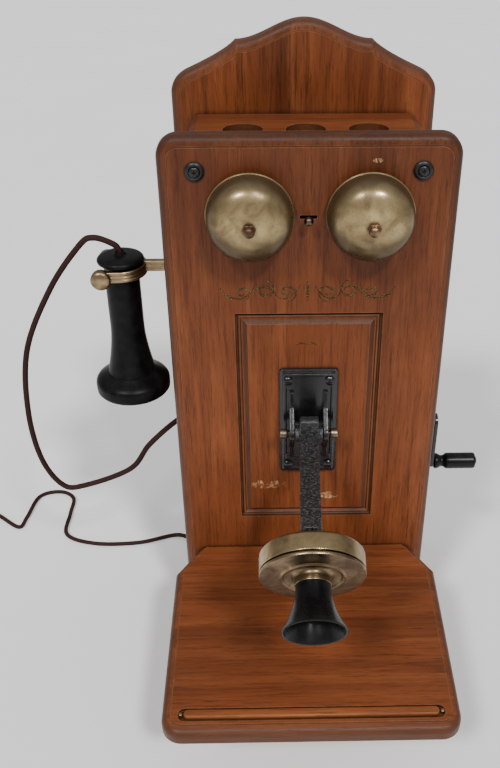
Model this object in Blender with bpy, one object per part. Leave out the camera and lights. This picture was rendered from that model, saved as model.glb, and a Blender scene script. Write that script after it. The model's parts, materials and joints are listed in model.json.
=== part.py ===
"""Wall crank telephone: cabinet, two bells, transmitter on a tilting arm, hook with its
receiver, hand crank and the works inside.

Drawing frame: the wall face of the back board is Y = 0, the front faces -Y, the base is
Z = 0 and X = 0 is the centre plane, with +X on the viewer's right. The root empty then
moves the drawing so that the world's origin is the middle of the cabinet's foot.
All sizes below are millimetres; add() turns them into metres.
"""

import math

import bmesh
import bpy
from mathutils import Vector

MM = 0.001
GAP = 0.3
ROOT = "foot_middle"

# Cabinet.
BACK_HALF_WIDTH = 118.0
BACK_THICK = 18.0
CROWN_TOP = 598.0
CREST_CORNER = (60.3, 18.0)
SHOULDER_START = (102.0, 42.0)
SHOULDER_END = (118.0, 62.0)
BOX_HALF_WIDTH = 98.0
BOX_FRONT = -127.0
SIDE_THICK = 12.0
BOX_TOP = 521.0
TOP_THICK = 18.0
VENT_RADIUS = 17.0
VENT_PITCH = 53.5
VENT_Y = -70.0
FRONT_SIDES = (-120.4, 121.8)
FRONT_TOP = 537.0
FRONT_THICK = 16.0
FRONT_CORNER = 18.0
FRONT_FACE = BOX_FRONT - FRONT_THICK
FOOT_MIDDLE = (0.0, -FRONT_FACE / 2, 0.0)
PANEL_HALF = (64.0, 113.4)
PANEL_MIDDLE = (1.5, 270.5)
MAGNETO_SHELF_TOP = 168.0

# Writing shelf.
SHELF_SLOPE = math.radians(4.3)
SHELF_HINGE = (0.0, FRONT_FACE - 1.5, 118.0)
SHELF_REAR_HALF = 107.0
SHELF_HALF = 127.8
SHELF_LENGTH = 208.0
SHELF_CHAMFER = 32.0
SHELF_CORNER = 18.0
SHELF_THICK = 16.0
LATH_Y = -190.5
LATH_HALF = 108.5

# Bells.
GONG_X = {"left": -47.2, "right": 49.6}
GONG_Z = 475.0
GONG_RADIUS = 36.0
GONG_DEPTH = 28.5
GONG_RIM_Y = -149.0
GONG_SQUARENESS = 0.65
CLAPPER_PIVOT_Y = -118.0
CLAPPER_BALL_Y = -152.0
RINGER_Z = 471.5

# Transmitter.
BRACKET_X = 2.0
BRACKET_Z = 272.4
BRACKET_HALF = (26.4, 56.6)
ARM_PIVOT = (BRACKET_X, -163.0, 271.5)
TILT_AXIS = (-3.3, -138.1, -3.6)
HEAD_TILT = math.radians(21.0)
CUP_RADIUS = 41.0
CUP_BACK = -11.0
CUP_FRONT = -27.0
FACE_Y = -31.0
COLLAR_Y = -38.0
MOUTHPIECE_LENGTH = 36.3

# Receiver and hook.
RECEIVER_AXIS = (-164.5, -90.0)
RECEIVER_SEAT = 406.5
NECK_RADIUS = 15.5
HOOK_PIVOT = (-66.0, -90.0, 404.0)
FORK_RADIUS = 20.5
FORK_HALF_THICK = 2.5
RECEIVER_CORD_RADIUS = 2.8
LINE_CORD_RADIUS = 2.4

# Crank and generator.
CRANK_Y = -75.0
CRANK_Z = 222.0
CRANK_THROW = 50.6
CRANK_ARM_X = (133.2, 137.0)
GEAR_MODULE = 2.0
GEAR_TEETH = 28
PINION_TEETH = 7
GEAR_X = (66.0, 74.0)
GEAR_DISTANCE = GEAR_MODULE * (GEAR_TEETH + PINION_TEETH) / 2

LOOKS = {
    "mahogany": ((0.20, 0.066, 0.030), 0.38, 0.0),
    "plain_wood": ((0.36, 0.22, 0.12), 0.65, 0.0),
    "bronze": ((0.25, 0.21, 0.11), 0.36, 1.0),
    "brass": ((0.48, 0.36, 0.16), 0.32, 1.0),
    "black_iron": ((0.012, 0.012, 0.013), 0.45, 0.6),
    "black_gloss": ((0.010, 0.010, 0.011), 0.18, 0.0),
    "black_rubber": ((0.016, 0.015, 0.015), 0.42, 0.0),
    "steel": ((0.45, 0.45, 0.44), 0.35, 1.0),
    "copper": ((0.55, 0.25, 0.12), 0.4, 1.0),
    "cord": ((0.055, 0.022, 0.016), 0.8, 0.0),
    "paper": ((0.35, 0.30, 0.20), 0.8, 0.0),
}


# ---------------------------------------------------------------- outlines


def arc(centre, radius, start, end, steps):
    """Points along an arc in degrees, both ends included."""
    points = []
    for step in range(steps + 1):
        angle = math.radians(start + (end - start) * step / steps)
        points.append(
            (centre[0] + radius * math.cos(angle), centre[1] + radius * math.sin(angle))
        )
    return points


def circle(centre, radius, segments):
    return arc(centre, radius, 0.0, 360.0, segments)[:-1]


def bend(start, control, end, steps):
    """Points along a quadratic curve, both ends included."""
    points = []
    for step in range(steps + 1):
        t = step / steps
        points.append(
            tuple(
                (1 - t) ** 2 * a + 2 * t * (1 - t) * b + t * t * c
                for a, b, c in zip(start, control, end)
            )
        )
    return points


def rectangle(x_range, y_range):
    (left, right), (low, high) = x_range, y_range
    return [(left, low), (right, low), (right, high), (left, high)]


def rounded_rectangle(x_range, y_range, radius, steps):
    (left, right), (low, high) = x_range, y_range
    corners = [
        (right - radius, low + radius, -90.0),
        (right - radius, high - radius, 0.0),
        (left + radius, high - radius, 90.0),
        (left + radius, low + radius, 180.0),
    ]
    points = []
    for x, y, start in corners:
        points += arc((x, y), radius, start, start + 90.0, steps)
    return points


def inset(outline, distance):
    """The anticlockwise outline moved inward along each corner's mitre."""
    moved = []
    for index, here in enumerate(outline):
        here = Vector(here)
        before = (here - Vector(outline[index - 1])).normalized()
        after = (Vector(outline[(index + 1) % len(outline)]) - here).normalized()
        normal_before = Vector((-before.y, before.x))
        normal_after = Vector((-after.y, after.x))
        mitre = (normal_before + normal_after) / (
            1.0 + normal_before.dot(normal_after)
        )
        moved.append(tuple(here + mitre * distance))
    return moved


def gear_outline(teeth, phase):
    """Trapezoid teeth with working clearance; phase is the angle of one tooth."""
    pitch_radius = GEAR_MODULE * teeth / 2
    tip = pitch_radius + 0.75 * GEAR_MODULE
    root = pitch_radius - 1.1 * GEAR_MODULE
    tip_half = 0.32 * GEAR_MODULE / tip
    root_half = 0.78 * GEAR_MODULE / root
    points = []
    for tooth in range(teeth):
        middle = phase + 2 * math.pi * tooth / teeth
        for radius, offset in (
            (root, -root_half),
            (tip, -tip_half),
            (tip, tip_half),
            (root, root_half),
        ):
            angle = middle + offset
            points.append((radius * math.cos(angle), radius * math.sin(angle)))
    return points


# ------------------------------------------------------------------ solids

AXES = {
    "X": lambda a, b, h: (h, a, b),
    "Y": lambda a, b, h: (a, h, b),
    "Z": lambda a, b, h: (a, b, h),
}


def loft(rings, closed=False):
    """Skin over rings of points; a ring of one point is a pole."""
    vertices = []
    starts = []
    for ring in rings:
        starts.append(len(vertices))
        vertices += ring
    faces = []
    pairs = list(zip(range(len(rings)), range(1, len(rings))))
    if closed:
        pairs.append((len(rings) - 1, 0))
    for low, high in pairs:
        faces += band(starts[low], len(rings[low]), starts[high], len(rings[high]))
    if not closed:
        for end in (0, len(rings) - 1):
            if len(rings[end]) > 1:
                faces.append([starts[end] + i for i in range(len(rings[end]))])
    return vertices, faces


def band(low, low_count, high, high_count):
    """Faces between two neighbouring rings of a loft."""
    count = max(low_count, high_count)
    faces = []
    if count == 1:
        return faces
    for i in range(count):
        j = (i + 1) % count
        if low_count == 1:
            faces.append([low, high + i, high + j])
        elif high_count == 1:
            faces.append([low + i, low + j, high])
        else:
            faces.append([low + i, low + j, high + j, high + i])
    return faces


def prism(outline, axis, start, end):
    place = AXES[axis]
    return loft([[place(a, b, h) for a, b in outline] for h in (start, end)])


def block(x_range, y_range, z_range):
    return prism(rectangle(x_range, y_range), "Z", *z_range)


def stepped(outline, steps, axis):
    """A board whose edge follows steps of (inset, height)."""
    place = AXES[axis]
    rings = []
    for distance, height in steps:
        rings.append([place(a, b, height) for a, b in inset(outline, distance)])
    return loft(rings)


def lathe(profile, axis, segments, centre=(0.0, 0.0), closed=False):
    """Turns a profile of (radius, height) round an axis through centre."""
    place = AXES[axis]
    rings = []
    for radius, height in profile:
        if radius == 0.0:
            rings.append([place(centre[0], centre[1], height)])
        else:
            ring = circle(centre, radius, segments)
            rings.append([place(a, b, height) for a, b in ring])
    return loft(rings, closed)


def rod(axis, centre, radius, start, end, segments=12):
    return lathe([(radius, start), (radius, end)], axis, segments, centre)


def ring_gear(outline, bore, axis, start, end):
    """A prism with a round bore that has as many points as its outline."""
    place = AXES[axis]
    hole = [
        (bore * a / math.hypot(a, b), bore * b / math.hypot(a, b)) for a, b in outline
    ]
    rings = []
    for shape, height in (
        (outline, start),
        (outline, end),
        (hole, end),
        (hole, start),
    ):
        rings.append([place(a, b, height) for a, b in shape])
    return loft(rings, closed=True)


def frame_solid(half_size, middle, steps):
    """A mitred rectangular moulding; steps are (inset, y) round its section."""
    rings = []
    for distance, y in steps:
        half_x = half_size[0] - distance
        half_z = half_size[1] - distance
        x_range = (middle[0] - half_x, middle[0] + half_x)
        corners = rectangle(x_range, (middle[1] - half_z, middle[1] + half_z))
        rings.append([(x, y, z) for x, z in corners])
    return loft(rings, closed=True)


# ----------------------------------------------------------------- objects


def clear_scene():
    for old in list(bpy.data.objects):
        bpy.data.objects.remove(old, do_unlink=True)


def material(look):
    if look in bpy.data.materials:
        return bpy.data.materials[look]
    colour, roughness, metallic = LOOKS[look]
    made = bpy.data.materials.new(look)
    made.use_nodes = True
    shader = made.node_tree.nodes["Principled BSDF"]
    shader.inputs["Base Color"].default_value = (*colour, 1.0)
    shader.inputs["Roughness"].default_value = roughness
    shader.inputs["Metallic"].default_value = metallic
    made.diffuse_color = (*colour, 1.0)
    return made


def mesh_of(name, shapes):
    """One mesh, in metres, from closed shapes given in millimetres."""
    builder = bmesh.new()
    for vertices, faces in shapes:
        made = [builder.verts.new(Vector(point) * MM) for point in vertices]
        for face in faces:
            builder.faces.new([made[index] for index in face])
    bmesh.ops.recalc_face_normals(builder, faces=builder.faces)
    mesh = bpy.data.meshes.new(name)
    builder.to_mesh(mesh)
    builder.free()
    return mesh


def hang(made, parent, at, turn_x=0.0):
    """Puts an object in the scene at a place in its parent's frame, in millimetres."""
    if parent is None and made.name != ROOT:
        parent = bpy.data.objects[ROOT]
    made.parent = parent
    made.location = Vector(at) * MM
    made.rotation_euler = (turn_x, 0.0, 0.0)
    bpy.context.scene.collection.objects.link(made)
    return made


def add(name, look, shape, parent=None, at=(0.0, 0.0, 0.0), turn_x=0.0):
    """A named piece of one closed shape, in its look's material."""
    mesh = mesh_of(name, [shape])
    mesh.materials.append(material(look))
    mesh.shade_smooth()
    mesh.set_sharp_from_angle(angle=math.radians(32.0))
    return hang(bpy.data.objects.new(name, mesh), parent, at, turn_x)


def helper(target, shapes, kind):
    tool = bpy.data.objects.new(target.name + kind, mesh_of(kind, shapes))
    tool.parent = target
    tool.hide_render = True
    tool.display_type = "WIRE"
    bpy.context.scene.collection.objects.link(tool)
    return tool


def cut(target, *shapes):
    """Takes shapes, which don't touch each other, out of a piece."""
    modifier = target.modifiers.new("cut", "BOOLEAN")
    modifier.operation = "DIFFERENCE"
    modifier.object = helper(target, shapes, "_cutter")


def join(target, *shapes):
    """Joins each shape to a piece."""
    for shape in shapes:
        modifier = target.modifiers.new("join", "BOOLEAN")
        modifier.operation = "UNION"
        modifier.object = helper(target, [shape], "_joined")


def axis_empty(name, at, parent=None, turn_x=0.0):
    """An empty on a joint's axis, which carries one moving body."""
    return hang(bpy.data.objects.new(name, None), parent, at, turn_x)


def add_cord(name, radius, points):
    """A round cord along a smooth path of points, in millimetres."""
    curve = bpy.data.curves.new(name, "CURVE")
    curve.dimensions = "3D"
    curve.bevel_depth = radius * MM
    curve.bevel_resolution = 1
    curve.use_fill_caps = True
    curve.resolution_u = 3
    spline = curve.splines.new("BEZIER")
    spline.bezier_points.add(len(points) - 1)
    for knot, point in zip(spline.bezier_points, points):
        knot.co = Vector(point) * MM
        knot.handle_left_type = "AUTO"
        knot.handle_right_type = "AUTO"
    curve.materials.append(material("cord"))
    return hang(bpy.data.objects.new(name, curve), None, (0.0, 0.0, 0.0))


# ----------------------------------------------------------------- cabinet


def crest_outline():
    """Back board outline: a cosine crown, sharp corners, coves and shoulders."""
    corner_x, corner_drop = CREST_CORNER
    crown = []
    for step in range(9):
        x = corner_x * step / 8
        drop = corner_drop * (1 - math.cos(math.pi * x / corner_x)) / 2
        crown.append((x, CROWN_TOP - drop))
    cove = bend(CREST_CORNER, (68.0, 27.0), SHOULDER_START, 4)
    shoulder = bend(SHOULDER_START, (BACK_HALF_WIDTH, 49.0), SHOULDER_END, 4)
    side = [(x, CROWN_TOP - drop) for x, drop in cove[1:] + shoulder[1:]]
    right = (crown + side)[::-1]
    left = [(-x, z) for x, z in reversed(right[:-1])]
    return [(-BACK_HALF_WIDTH, 0.0), (BACK_HALF_WIDTH, 0.0)] + right + left


def routed_edge(start, thick):
    """A rounded edge with a small step, as (inset, distance towards the front)."""
    steps = [(0.0, start), (0.0, start - thick + 9.4)]
    for inward, along in arc((0.0, 0.0), 7.0, 60.0, 0.0, 2):
        steps.append((7.0 - along, start - thick + 9.0 - inward))
    steps.append((7.9, start - thick + 1.6))
    steps.append((8.4, start - thick))
    return steps


def add_back_board():
    board = add(
        "back_board",
        "mahogany",
        stepped(crest_outline(), routed_edge(0.0, BACK_THICK), "Y"),
    )
    holes = [rod("Y", (0.0, z), 3.0, -30.0, 10.0) for z in (60.0, 470.0)]
    cut(board, *holes)


def add_box():
    depth = (BOX_FRONT + GAP, -BACK_THICK - GAP)
    inner = BOX_HALF_WIDTH - SIDE_THICK
    under_top = BOX_TOP - TOP_THICK
    right = add(
        "right_side",
        "mahogany",
        block((inner, BOX_HALF_WIDTH), depth, (0.0, under_top - GAP)),
    )
    cut(right, rod("X", (CRANK_Y, CRANK_Z), 7.4, inner - 5, BOX_HALF_WIDTH + 5))
    left = add(
        "left_side",
        "mahogany",
        block((-BOX_HALF_WIDTH, -inner), depth, (0.0, under_top - GAP)),
    )
    hook_slot = block(
        (-BOX_HALF_WIDTH - 5, -inner + 5),
        (HOOK_PIVOT[1] - 3.8, HOOK_PIVOT[1] + 3.8),
        (399.5, 417.5),
    )
    receiver_cord_hole = rod("X", (-90.0, 250.0), 3.8, -110.0, -80.0)
    line_cord_hole = rod("X", (-32.0, 22.0), 3.6, -110.0, -80.0)
    cut(left, hook_slot, receiver_cord_hole, line_cord_hole)
    side_range = (-inner + GAP, inner - GAP)
    add("bottom_board", "plain_wood", block(side_range, depth, (0.0, 12.0)))
    shelf_height = (MAGNETO_SHELF_TOP - 8.0, MAGNETO_SHELF_TOP)
    add("magneto_shelf", "plain_wood", block(side_range, depth, shelf_height))
    add_top_board(depth)


def add_top_board(depth):
    half = BOX_HALF_WIDTH + 2.0
    low = BOX_TOP - TOP_THICK
    outline = rounded_rectangle((-half, half), depth, 9.0, 4)
    steps = [(0.0, low), (0.0, BOX_TOP - 6.0), (1.5, BOX_TOP - 2.0), (5.0, BOX_TOP)]
    top = add("top_board", "mahogany", stepped(outline, steps, "Z"))
    vents = []
    for index in (-1, 0, 1):
        centre = (index * VENT_PITCH, VENT_Y)
        vents.append(rod("Z", centre, VENT_RADIUS, low - 5, BOX_TOP + 5, 32))
    screw_holes = []
    for side in (-1, 1):
        centre = (side * 89.9, 509.8)
        screw_holes.append(rod("Y", centre, 2.6, BOX_FRONT + 20, BOX_FRONT - 5))
    cut(top, *vents, *screw_holes)


def add_front_board():
    outline = rounded_rectangle(FRONT_SIDES, (0.0, FRONT_TOP), FRONT_CORNER, 6)
    board = add(
        "front_board",
        "mahogany",
        stepped(outline, routed_edge(BOX_FRONT, FRONT_THICK), "Y"),
    )
    groove = [
        (0.0, FRONT_FACE - 3.0),
        (0.0, FRONT_FACE + 0.4),
        (1.4, FRONT_FACE + 2.8),
        (3.0, FRONT_FACE + 2.8),
        (4.4, FRONT_FACE + 0.9),
        (7.6, FRONT_FACE + 0.9),
        (8.6, FRONT_FACE + 2.4),
        (10.6, FRONT_FACE + 0.3),
        (10.6, FRONT_FACE - 3.0),
    ]
    through = (BOX_FRONT + 5, FRONT_FACE - 5)
    clapper_slot = prism(
        rectangle((-7.2, 7.2), (RINGER_Z - 1.6, RINGER_Z + 1.6)), "Y", *through
    )
    holes = [rod("Y", (side * 89.9, 509.8), 2.6, *through) for side in (-1, 1)]
    holes += [rod("Y", (x, GONG_Z), 2.9, *through) for x in GONG_X.values()]
    for x, z in bracket_screw_places():
        holes.append(rod("Y", (x, z), 2.2, *through))
    cut(board, frame_solid(PANEL_HALF, PANEL_MIDDLE, groove))
    cut(board, clapper_slot, *holes)


def shelf_outline(distance):
    """Shelf outline with its rear edge kept in line at every inset."""
    rear = SHELF_REAR_HALF - distance
    half = SHELF_HALF - distance
    front = -SHELF_LENGTH + distance
    radius = SHELF_CORNER - distance
    left_corner = arc((-half + radius, front + radius), radius, 180.0, 270.0, 5)
    right_corner = arc((half - radius, front + radius), radius, 270.0, 360.0, 5)
    outline = [(-rear, 0.0), (-half, -SHELF_CHAMFER)] + left_corner
    return outline + right_corner + [(half, -SHELF_CHAMFER), (rear, 0.0)]


def add_writing_shelf():
    edge = [(0.0, -SHELF_THICK), (0.0, -9.0), (1.0, -5.2), (3.4, -2.6), (6.8, -1.7)]
    edge += [(7.6, -1.3), (8.0, 0.0)]
    rings = [[(x, y, z) for x, y in shelf_outline(step)] for step, z in edge]
    shelf = add(
        "writing_shelf", "mahogany", loft(rings), at=SHELF_HINGE, turn_x=SHELF_SLOPE
    )
    groove = rounded_rectangle(
        (-LATH_HALF - 5, LATH_HALF + 5), (LATH_Y - 6, LATH_Y + 6), 5.9, 4
    )
    cut(shelf, prism(groove, "Z", -3.0, 3.0))
    lath = rounded_rectangle((-LATH_HALF, LATH_HALF), (LATH_Y - 4, LATH_Y + 4), 3.9, 3)
    steps = [(0.0, -2.7), (0.0, 1.8), (1.0, 2.8)]
    add(
        "pencil_lath",
        "mahogany",
        stepped(lath, steps, "Z"),
        at=SHELF_HINGE,
        turn_x=SHELF_SLOPE,
    )
    for name, x in (("shelf_brace_left", -62.0), ("shelf_brace_right", 62.0)):
        add(name, "mahogany", prism(brace_outline(), "X", x - 7.0, x + 7.0))


def brace_outline():
    """Side shape of a brace under the shelf: straight top, hollow front."""
    rear = FRONT_FACE - GAP
    top_rear = SHELF_HINGE[2] - SHELF_THICK / math.cos(SHELF_SLOPE) - 0.6
    reach = 118.0
    top_front = top_rear - reach * math.tan(SHELF_SLOPE)
    hollow = bend((rear - reach, top_front - 12.0), (rear - 26.0, 66.0), (rear - 14, 16), 6)
    return [(rear, top_rear), (rear - reach, top_front)] + hollow + [(rear, 16.0)]


def add_board_screws():
    for name, side in (("left", -1), ("right", 1)):
        centre = (side * 89.9, 509.8)
        face = FRONT_FACE - GAP
        ring = [
            (2.7, face),
            (8.0, face),
            (7.6, face - 1.0),
            (5.4, face - 2.2),
            (4.9, face - 2.2),
            (3.0, face - 0.6),
        ]
        add(
            f"board_washer_{name}",
            "black_iron",
            lathe(ring, "Y", 16, centre, closed=True),
        )
        head = face - 1.0
        screw = [
            (0.0, BOX_FRONT + 18),
            (2.2, BOX_FRONT + 15),
            (2.2, head + 0.4),
            (4.2, head - 1.0),
            (4.2, head - 1.6),
            (2.4, head - 2.5),
            (0.0, head - 2.8),
        ]
        add(f"board_screw_{name}", "black_iron", lathe(screw, "Y", 12, centre))


# ------------------------------------------------------------------- bells


def gong_profile(radius, depth, rim_y, steps):
    """Half of a superellipse, from the rim to the crown."""
    points = []
    for step in range(steps + 1):
        angle = math.radians(90.0 * step / steps)
        reach = radius * math.cos(angle) ** GONG_SQUARENESS
        height = depth * math.sin(angle) ** GONG_SQUARENESS
        points.append((reach, rim_y - height))
    return points


def add_gongs():
    for name, x in GONG_X.items():
        centre = (x, GONG_Z)
        outer = gong_profile(GONG_RADIUS - 1.0, GONG_DEPTH, GONG_RIM_Y, 6)[:-1]
        inner = gong_profile(GONG_RADIUS - 2.8, GONG_DEPTH - 1.7, GONG_RIM_Y, 6)[:-1]
        lip = [(GONG_RADIUS - 0.6, GONG_RIM_Y + 0.5), (GONG_RADIUS, GONG_RIM_Y - 0.6)]
        crown = GONG_RIM_Y - GONG_DEPTH
        profile = lip + outer[1:] + [(3.0, crown), (3.0, crown + 1.7)] + inner[::-1]
        add(
            f"gong_{name}", "bronze", lathe(profile, "Y", 28, centre, closed=True)
        )
        add_gong_post(name, centre, crown)


def add_gong_post(name, centre, crown):
    face = FRONT_FACE - GAP
    post = [
        (0.0, BOX_FRONT - 3.0),
        (2.5, BOX_FRONT - 4.0),
        (2.5, face),
        (9.0, face),
        (8.0, face - 2.0),
        (5.0, face - 3.0),
        (5.0, crown + 1.7 + GAP),
        (2.6, crown + 1.7 + GAP),
        (2.6, crown - 5.0),
        (0.0, crown - 5.4),
    ]
    add(f"gong_post_{name}", "brass", lathe(post, "Y", 12, centre))
    nut = [
        (2.9, crown - GAP),
        (5.6, crown - GAP),
        (5.6, crown - 3.4),
        (4.6, crown - 4.2),
        (4.2, crown - 6.4),
        (2.2, crown - 8.2),
        (0.0, crown - 8.6),
        (0.0, crown - 6.4),
        (2.9, crown - 6.0),
    ]
    add(f"gong_nut_{name}", "brass", lathe(nut, "Y", 12, centre, closed=True))


def add_ringer():
    pivot = axis_empty("clapper_axis", (0.0, CLAPPER_PIVOT_Y, RINGER_Z))
    ball_y = CLAPPER_BALL_Y - CLAPPER_PIVOT_Y
    ball = [(0.0, 1.0), (1.1, 0.5), (1.1, ball_y + 3.7)]
    ball += [(r, ball_y - h) for r, h in arc((0.0, 0.0), 3.9, -70.0, 90.0, 5)[1:-1]]
    ball.append((0.0, ball_y - 3.9))
    clapper = add("clapper", "brass", lathe(ball, "Y", 12), parent=pivot)
    hub = rod("Z", (0.0, 0.0), 3.6, -9.0, 9.0, 12)
    armature_bar = block((-19.0, 19.0), (2.0, 5.0), (-6.0, 6.0))
    join(clapper, hub, armature_bar)
    cut(clapper, rod("Z", (0.0, 0.0), 1.6, -20.0, 20.0, 12))
    add_ringer_frame()
    for name, side in (("left", -1), ("right", 1)):
        coil = [
            (0.0, -104.5),
            (4.0, -104.5),
            (4.0, -101.5),
            (11.0, -101.5),
            (11.0, -99.5),
            (9.6, -99.5),
            (9.6, -65.0),
            (11.0, -65.0),
            (11.0, -63.0),
            (0.0, -63.0),
        ]
        add(f"ringer_coil_{name}", "copper", lathe(coil, "Y", 14, (side * 14.0, RINGER_Z)))


def add_ringer_frame():
    """Face plate, ears with the clapper's pin, side pillars and the rear yoke."""
    rear_of_board = BOX_FRONT + GAP
    low, high = RINGER_Z - 20.0, RINGER_Z + 20.0
    frame = add(
        "ringer_frame",
        "steel",
        block((-36.0, 36.0), (rear_of_board, rear_of_board + 2.0), (low, high)),
    )
    pillars = rectangle((-36.0, 36.0), (rear_of_board + 0.5, -59.0))
    window = rectangle((-33.0, 33.0), (rear_of_board + 2.5, -62.7))
    ears = []
    for height in (RINGER_Z - 12.0, RINGER_Z + 10.0):
        ears.append(
            block((-5.0, 5.0), (rear_of_board + 1, -113.0), (height, height + 2.0))
        )
    pin = rod("Z", (0.0, CLAPPER_PIVOT_Y), 1.3, RINGER_Z - 11.0, RINGER_Z + 11.0, 12)
    yoke_ring = prism(pillars, "Z", RINGER_Z - 7.0, RINGER_Z + 7.0)
    yoke_window = prism(window, "Z", RINGER_Z - 9.0, RINGER_Z + 9.0)
    join(frame, ringed(yoke_ring, yoke_window), *ears, pin)
    cut(frame, block((-8.0, 8.0), (-140.0, -121.0), (RINGER_Z - 4.0, RINGER_Z + 4.0)))


def ringed(outer, window):
    """A rectangular ring standing on Z, from an outer and an inner prism."""
    outer_low, outer_high = outer[0][:4], outer[0][4:]
    inner = [(x, y) for x, y, _ in window[0][:4]]
    low = [(x, y, outer_low[0][2]) for x, y in inner]
    high = [(x, y, outer_high[0][2]) for x, y in inner]
    return loft([outer_low, outer_high, high, low], closed=True)


# ------------------------------------------------------------- transmitter


def bracket_screw_places():
    places = []
    for x in (BRACKET_X - 19.0, BRACKET_X + 19.0):
        for z in (BRACKET_Z - 46.5, BRACKET_Z + 46.5):
            places.append((x, z))
    return places


def add_bracket():
    face = FRONT_FACE - GAP
    half_x, half_z = BRACKET_HALF
    x_range = (BRACKET_X - half_x, BRACKET_X + half_x)
    z_range = (BRACKET_Z - half_z, BRACKET_Z + half_z)
    outline = rounded_rectangle(x_range, z_range, 3.0, 2)
    edge = [(0.0, face), (0.0, face - 2.6), (1.6, face - 3.4), (2.2, face - 5.4)]
    plate = add("bracket_plate", "black_iron", stepped(outline, edge, "Y"))
    ribs = []
    for x in (BRACKET_X - 17.5, BRACKET_X + 13.0):
        ribs.append(prism(rib_outline(face - 3.0), "X", x, x + 4.5))
    join(plate, *ribs)
    pivot = (ARM_PIVOT[1], ARM_PIVOT[2])
    cut(plate, rod("X", pivot, 3.4, -30.0, 30.0, 16))
    holes = [rod("Y", place, 2.2, face + 5, face - 9) for place in bracket_screw_places()]
    cut(plate, *holes)
    names = ("lower_left", "upper_left", "lower_right", "upper_right")
    for name, place in zip(names, bracket_screw_places()):
        head = face - 5.4 - GAP
        screw = [
            (0.0, head + 16.0),
            (1.8, head + 13.0),
            (1.8, head),
            (4.4, head),
            (4.1, head - 1.2),
            (2.4, head - 2.3),
            (0.0, head - 2.6),
        ]
        add(f"bracket_screw_{name}", "black_iron", lathe(screw, "Y", 12, place))


def rib_outline(root):
    """Side shape of one bracket rib, with a lobe round the arm's pivot."""
    y, z = ARM_PIVOT[1], ARM_PIVOT[2]
    lobe = arc((y, z), 8.5, 240.0, 120.0, 6)
    low = [(root, z - 37.0), (root - 5.5, z - 35.0), (root - 7.0, z - 22.0)]
    high = [(root - 7.0, z + 22.0), (root - 5.5, z + 35.0), (root, z + 37.0)]
    return low + lobe + high


def add_arm():
    axis = axis_empty("arm_axis", ARM_PIVOT)
    half_pin = [(3.0, 18.2), (4.6, 22.5), (4.6, 25.0), (3.6, 26.6), (0.0, 27.0)]
    pivot = (ARM_PIVOT[1], ARM_PIVOT[2])
    add("arm_pivot_pin", "steel", lathe(both_ends(half_pin, BRACKET_X), "X", 12, pivot))
    end = (TILT_AXIS[1], TILT_AXIS[2])
    side = arc((0.0, 0.0), 8.0, 50.0, -50.0, 6)
    side += [(-14.0, -5.5), (end[0] + 12.0, end[1] - 5.5)]
    side += arc(end, 6.4, -100.0, -260.0, 6)
    side += [(end[0] + 12.0, end[1] + 5.5), (-14.0, 5.5)]
    bar = leaning(prism(side, "X", -8.5, 8.5))
    arm = add("transmitter_arm", "black_iron", bar, axis)
    stop_leg = block((-8.4, 8.4), (-9.0, 2.0), (0.0, 19.0))
    join(arm, rod("X", (0.0, 0.0), 7.6, -12.6, 12.6, 24), stop_leg)
    lug_sides = (TILT_AXIS[0] - 4.0, TILT_AXIS[0] + 4.0)
    lug_slot = block(lug_sides, (end[0] - 12.0, end[0] + 9.5), (-20.0, 12.0))
    cut(arm, lug_slot, rod("X", (0.0, 0.0), 3.4, -20.0, 20.0))
    cut(arm, rod("X", end, 2.5, -20.0, 20.0))
    half_bolt = [(2.1, 8.8), (4.6, 8.8), (4.6, 11.0), (4.0, 12.2), (0.0, 12.6)]
    add("tilt_bolt", "brass", lathe(both_ends(half_bolt, TILT_AXIS[0]), "X", 12, end), axis)
    add_head(axis_empty("head_axis", TILT_AXIS, axis, HEAD_TILT))


def leaning(shape):
    """The arm's bar runs sideways as it comes forward, to meet the head."""
    lean = TILT_AXIS[0] / TILT_AXIS[1]
    return [(x + lean * y, y, z) for x, y, z in shape[0]], shape[1]


def both_ends(half, middle):
    """The profile (radius, distance from middle) of a pin with two like ends."""
    low = [(radius, middle - distance) for radius, distance in reversed(half)]
    return low + [(radius, middle + distance) for radius, distance in half]


def add_head(axis):
    """Transmitter head, drawn facing -Y in the frame of its tilt axis."""
    wall = 2.0
    cup = [
        (0.0, CUP_BACK),
        (CUP_RADIUS - 2.5, CUP_BACK),
        (CUP_RADIUS, CUP_BACK - 2.0),
        (CUP_RADIUS, CUP_FRONT),
        (CUP_RADIUS - wall, CUP_FRONT),
        (CUP_RADIUS - wall, CUP_BACK - wall),
        (0.0, CUP_BACK - wall),
    ]
    shell = add("transmitter_cup", "brass", lathe(cup, "Y", 32), axis)
    lug = arc((0.0, 0.0), 6.0, 90.0, -90.0, 6)
    lug = lug[::-1] + [(CUP_BACK - 1.0, 8.0), (CUP_BACK - 1.0, -8.0)]
    join(shell, prism(lug, "X", -3.5, 3.5))
    cut(shell, rod("X", (0.0, 0.0), 2.5, -10.0, 10.0, 12))
    add("transmitter_faceplate", "brass", lathe(faceplate_profile(), "Y", 32, closed=True), axis)
    diaphragm = [(0.0, CUP_FRONT + 1.2), (36.0, CUP_FRONT + 1.2)]
    diaphragm += [(36.0, CUP_FRONT + 2.0), (0.0, CUP_FRONT + 2.0)]
    add("transmitter_diaphragm", "steel", lathe(diaphragm, "Y", 24), axis)
    back = CUP_BACK - wall - GAP
    button = [(0.0, back), (11.0, back), (11.0, back - 5.0), (6.0, back - 7.5)]
    button += [(6.0, back - 9.2), (0.0, back - 9.2)]
    add("carbon_button", "brass", lathe(button, "Y", 14), axis)
    add("mouthpiece", "black_gloss", lathe(mouthpiece_profile(), "Y", 24, closed=True), axis)


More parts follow.
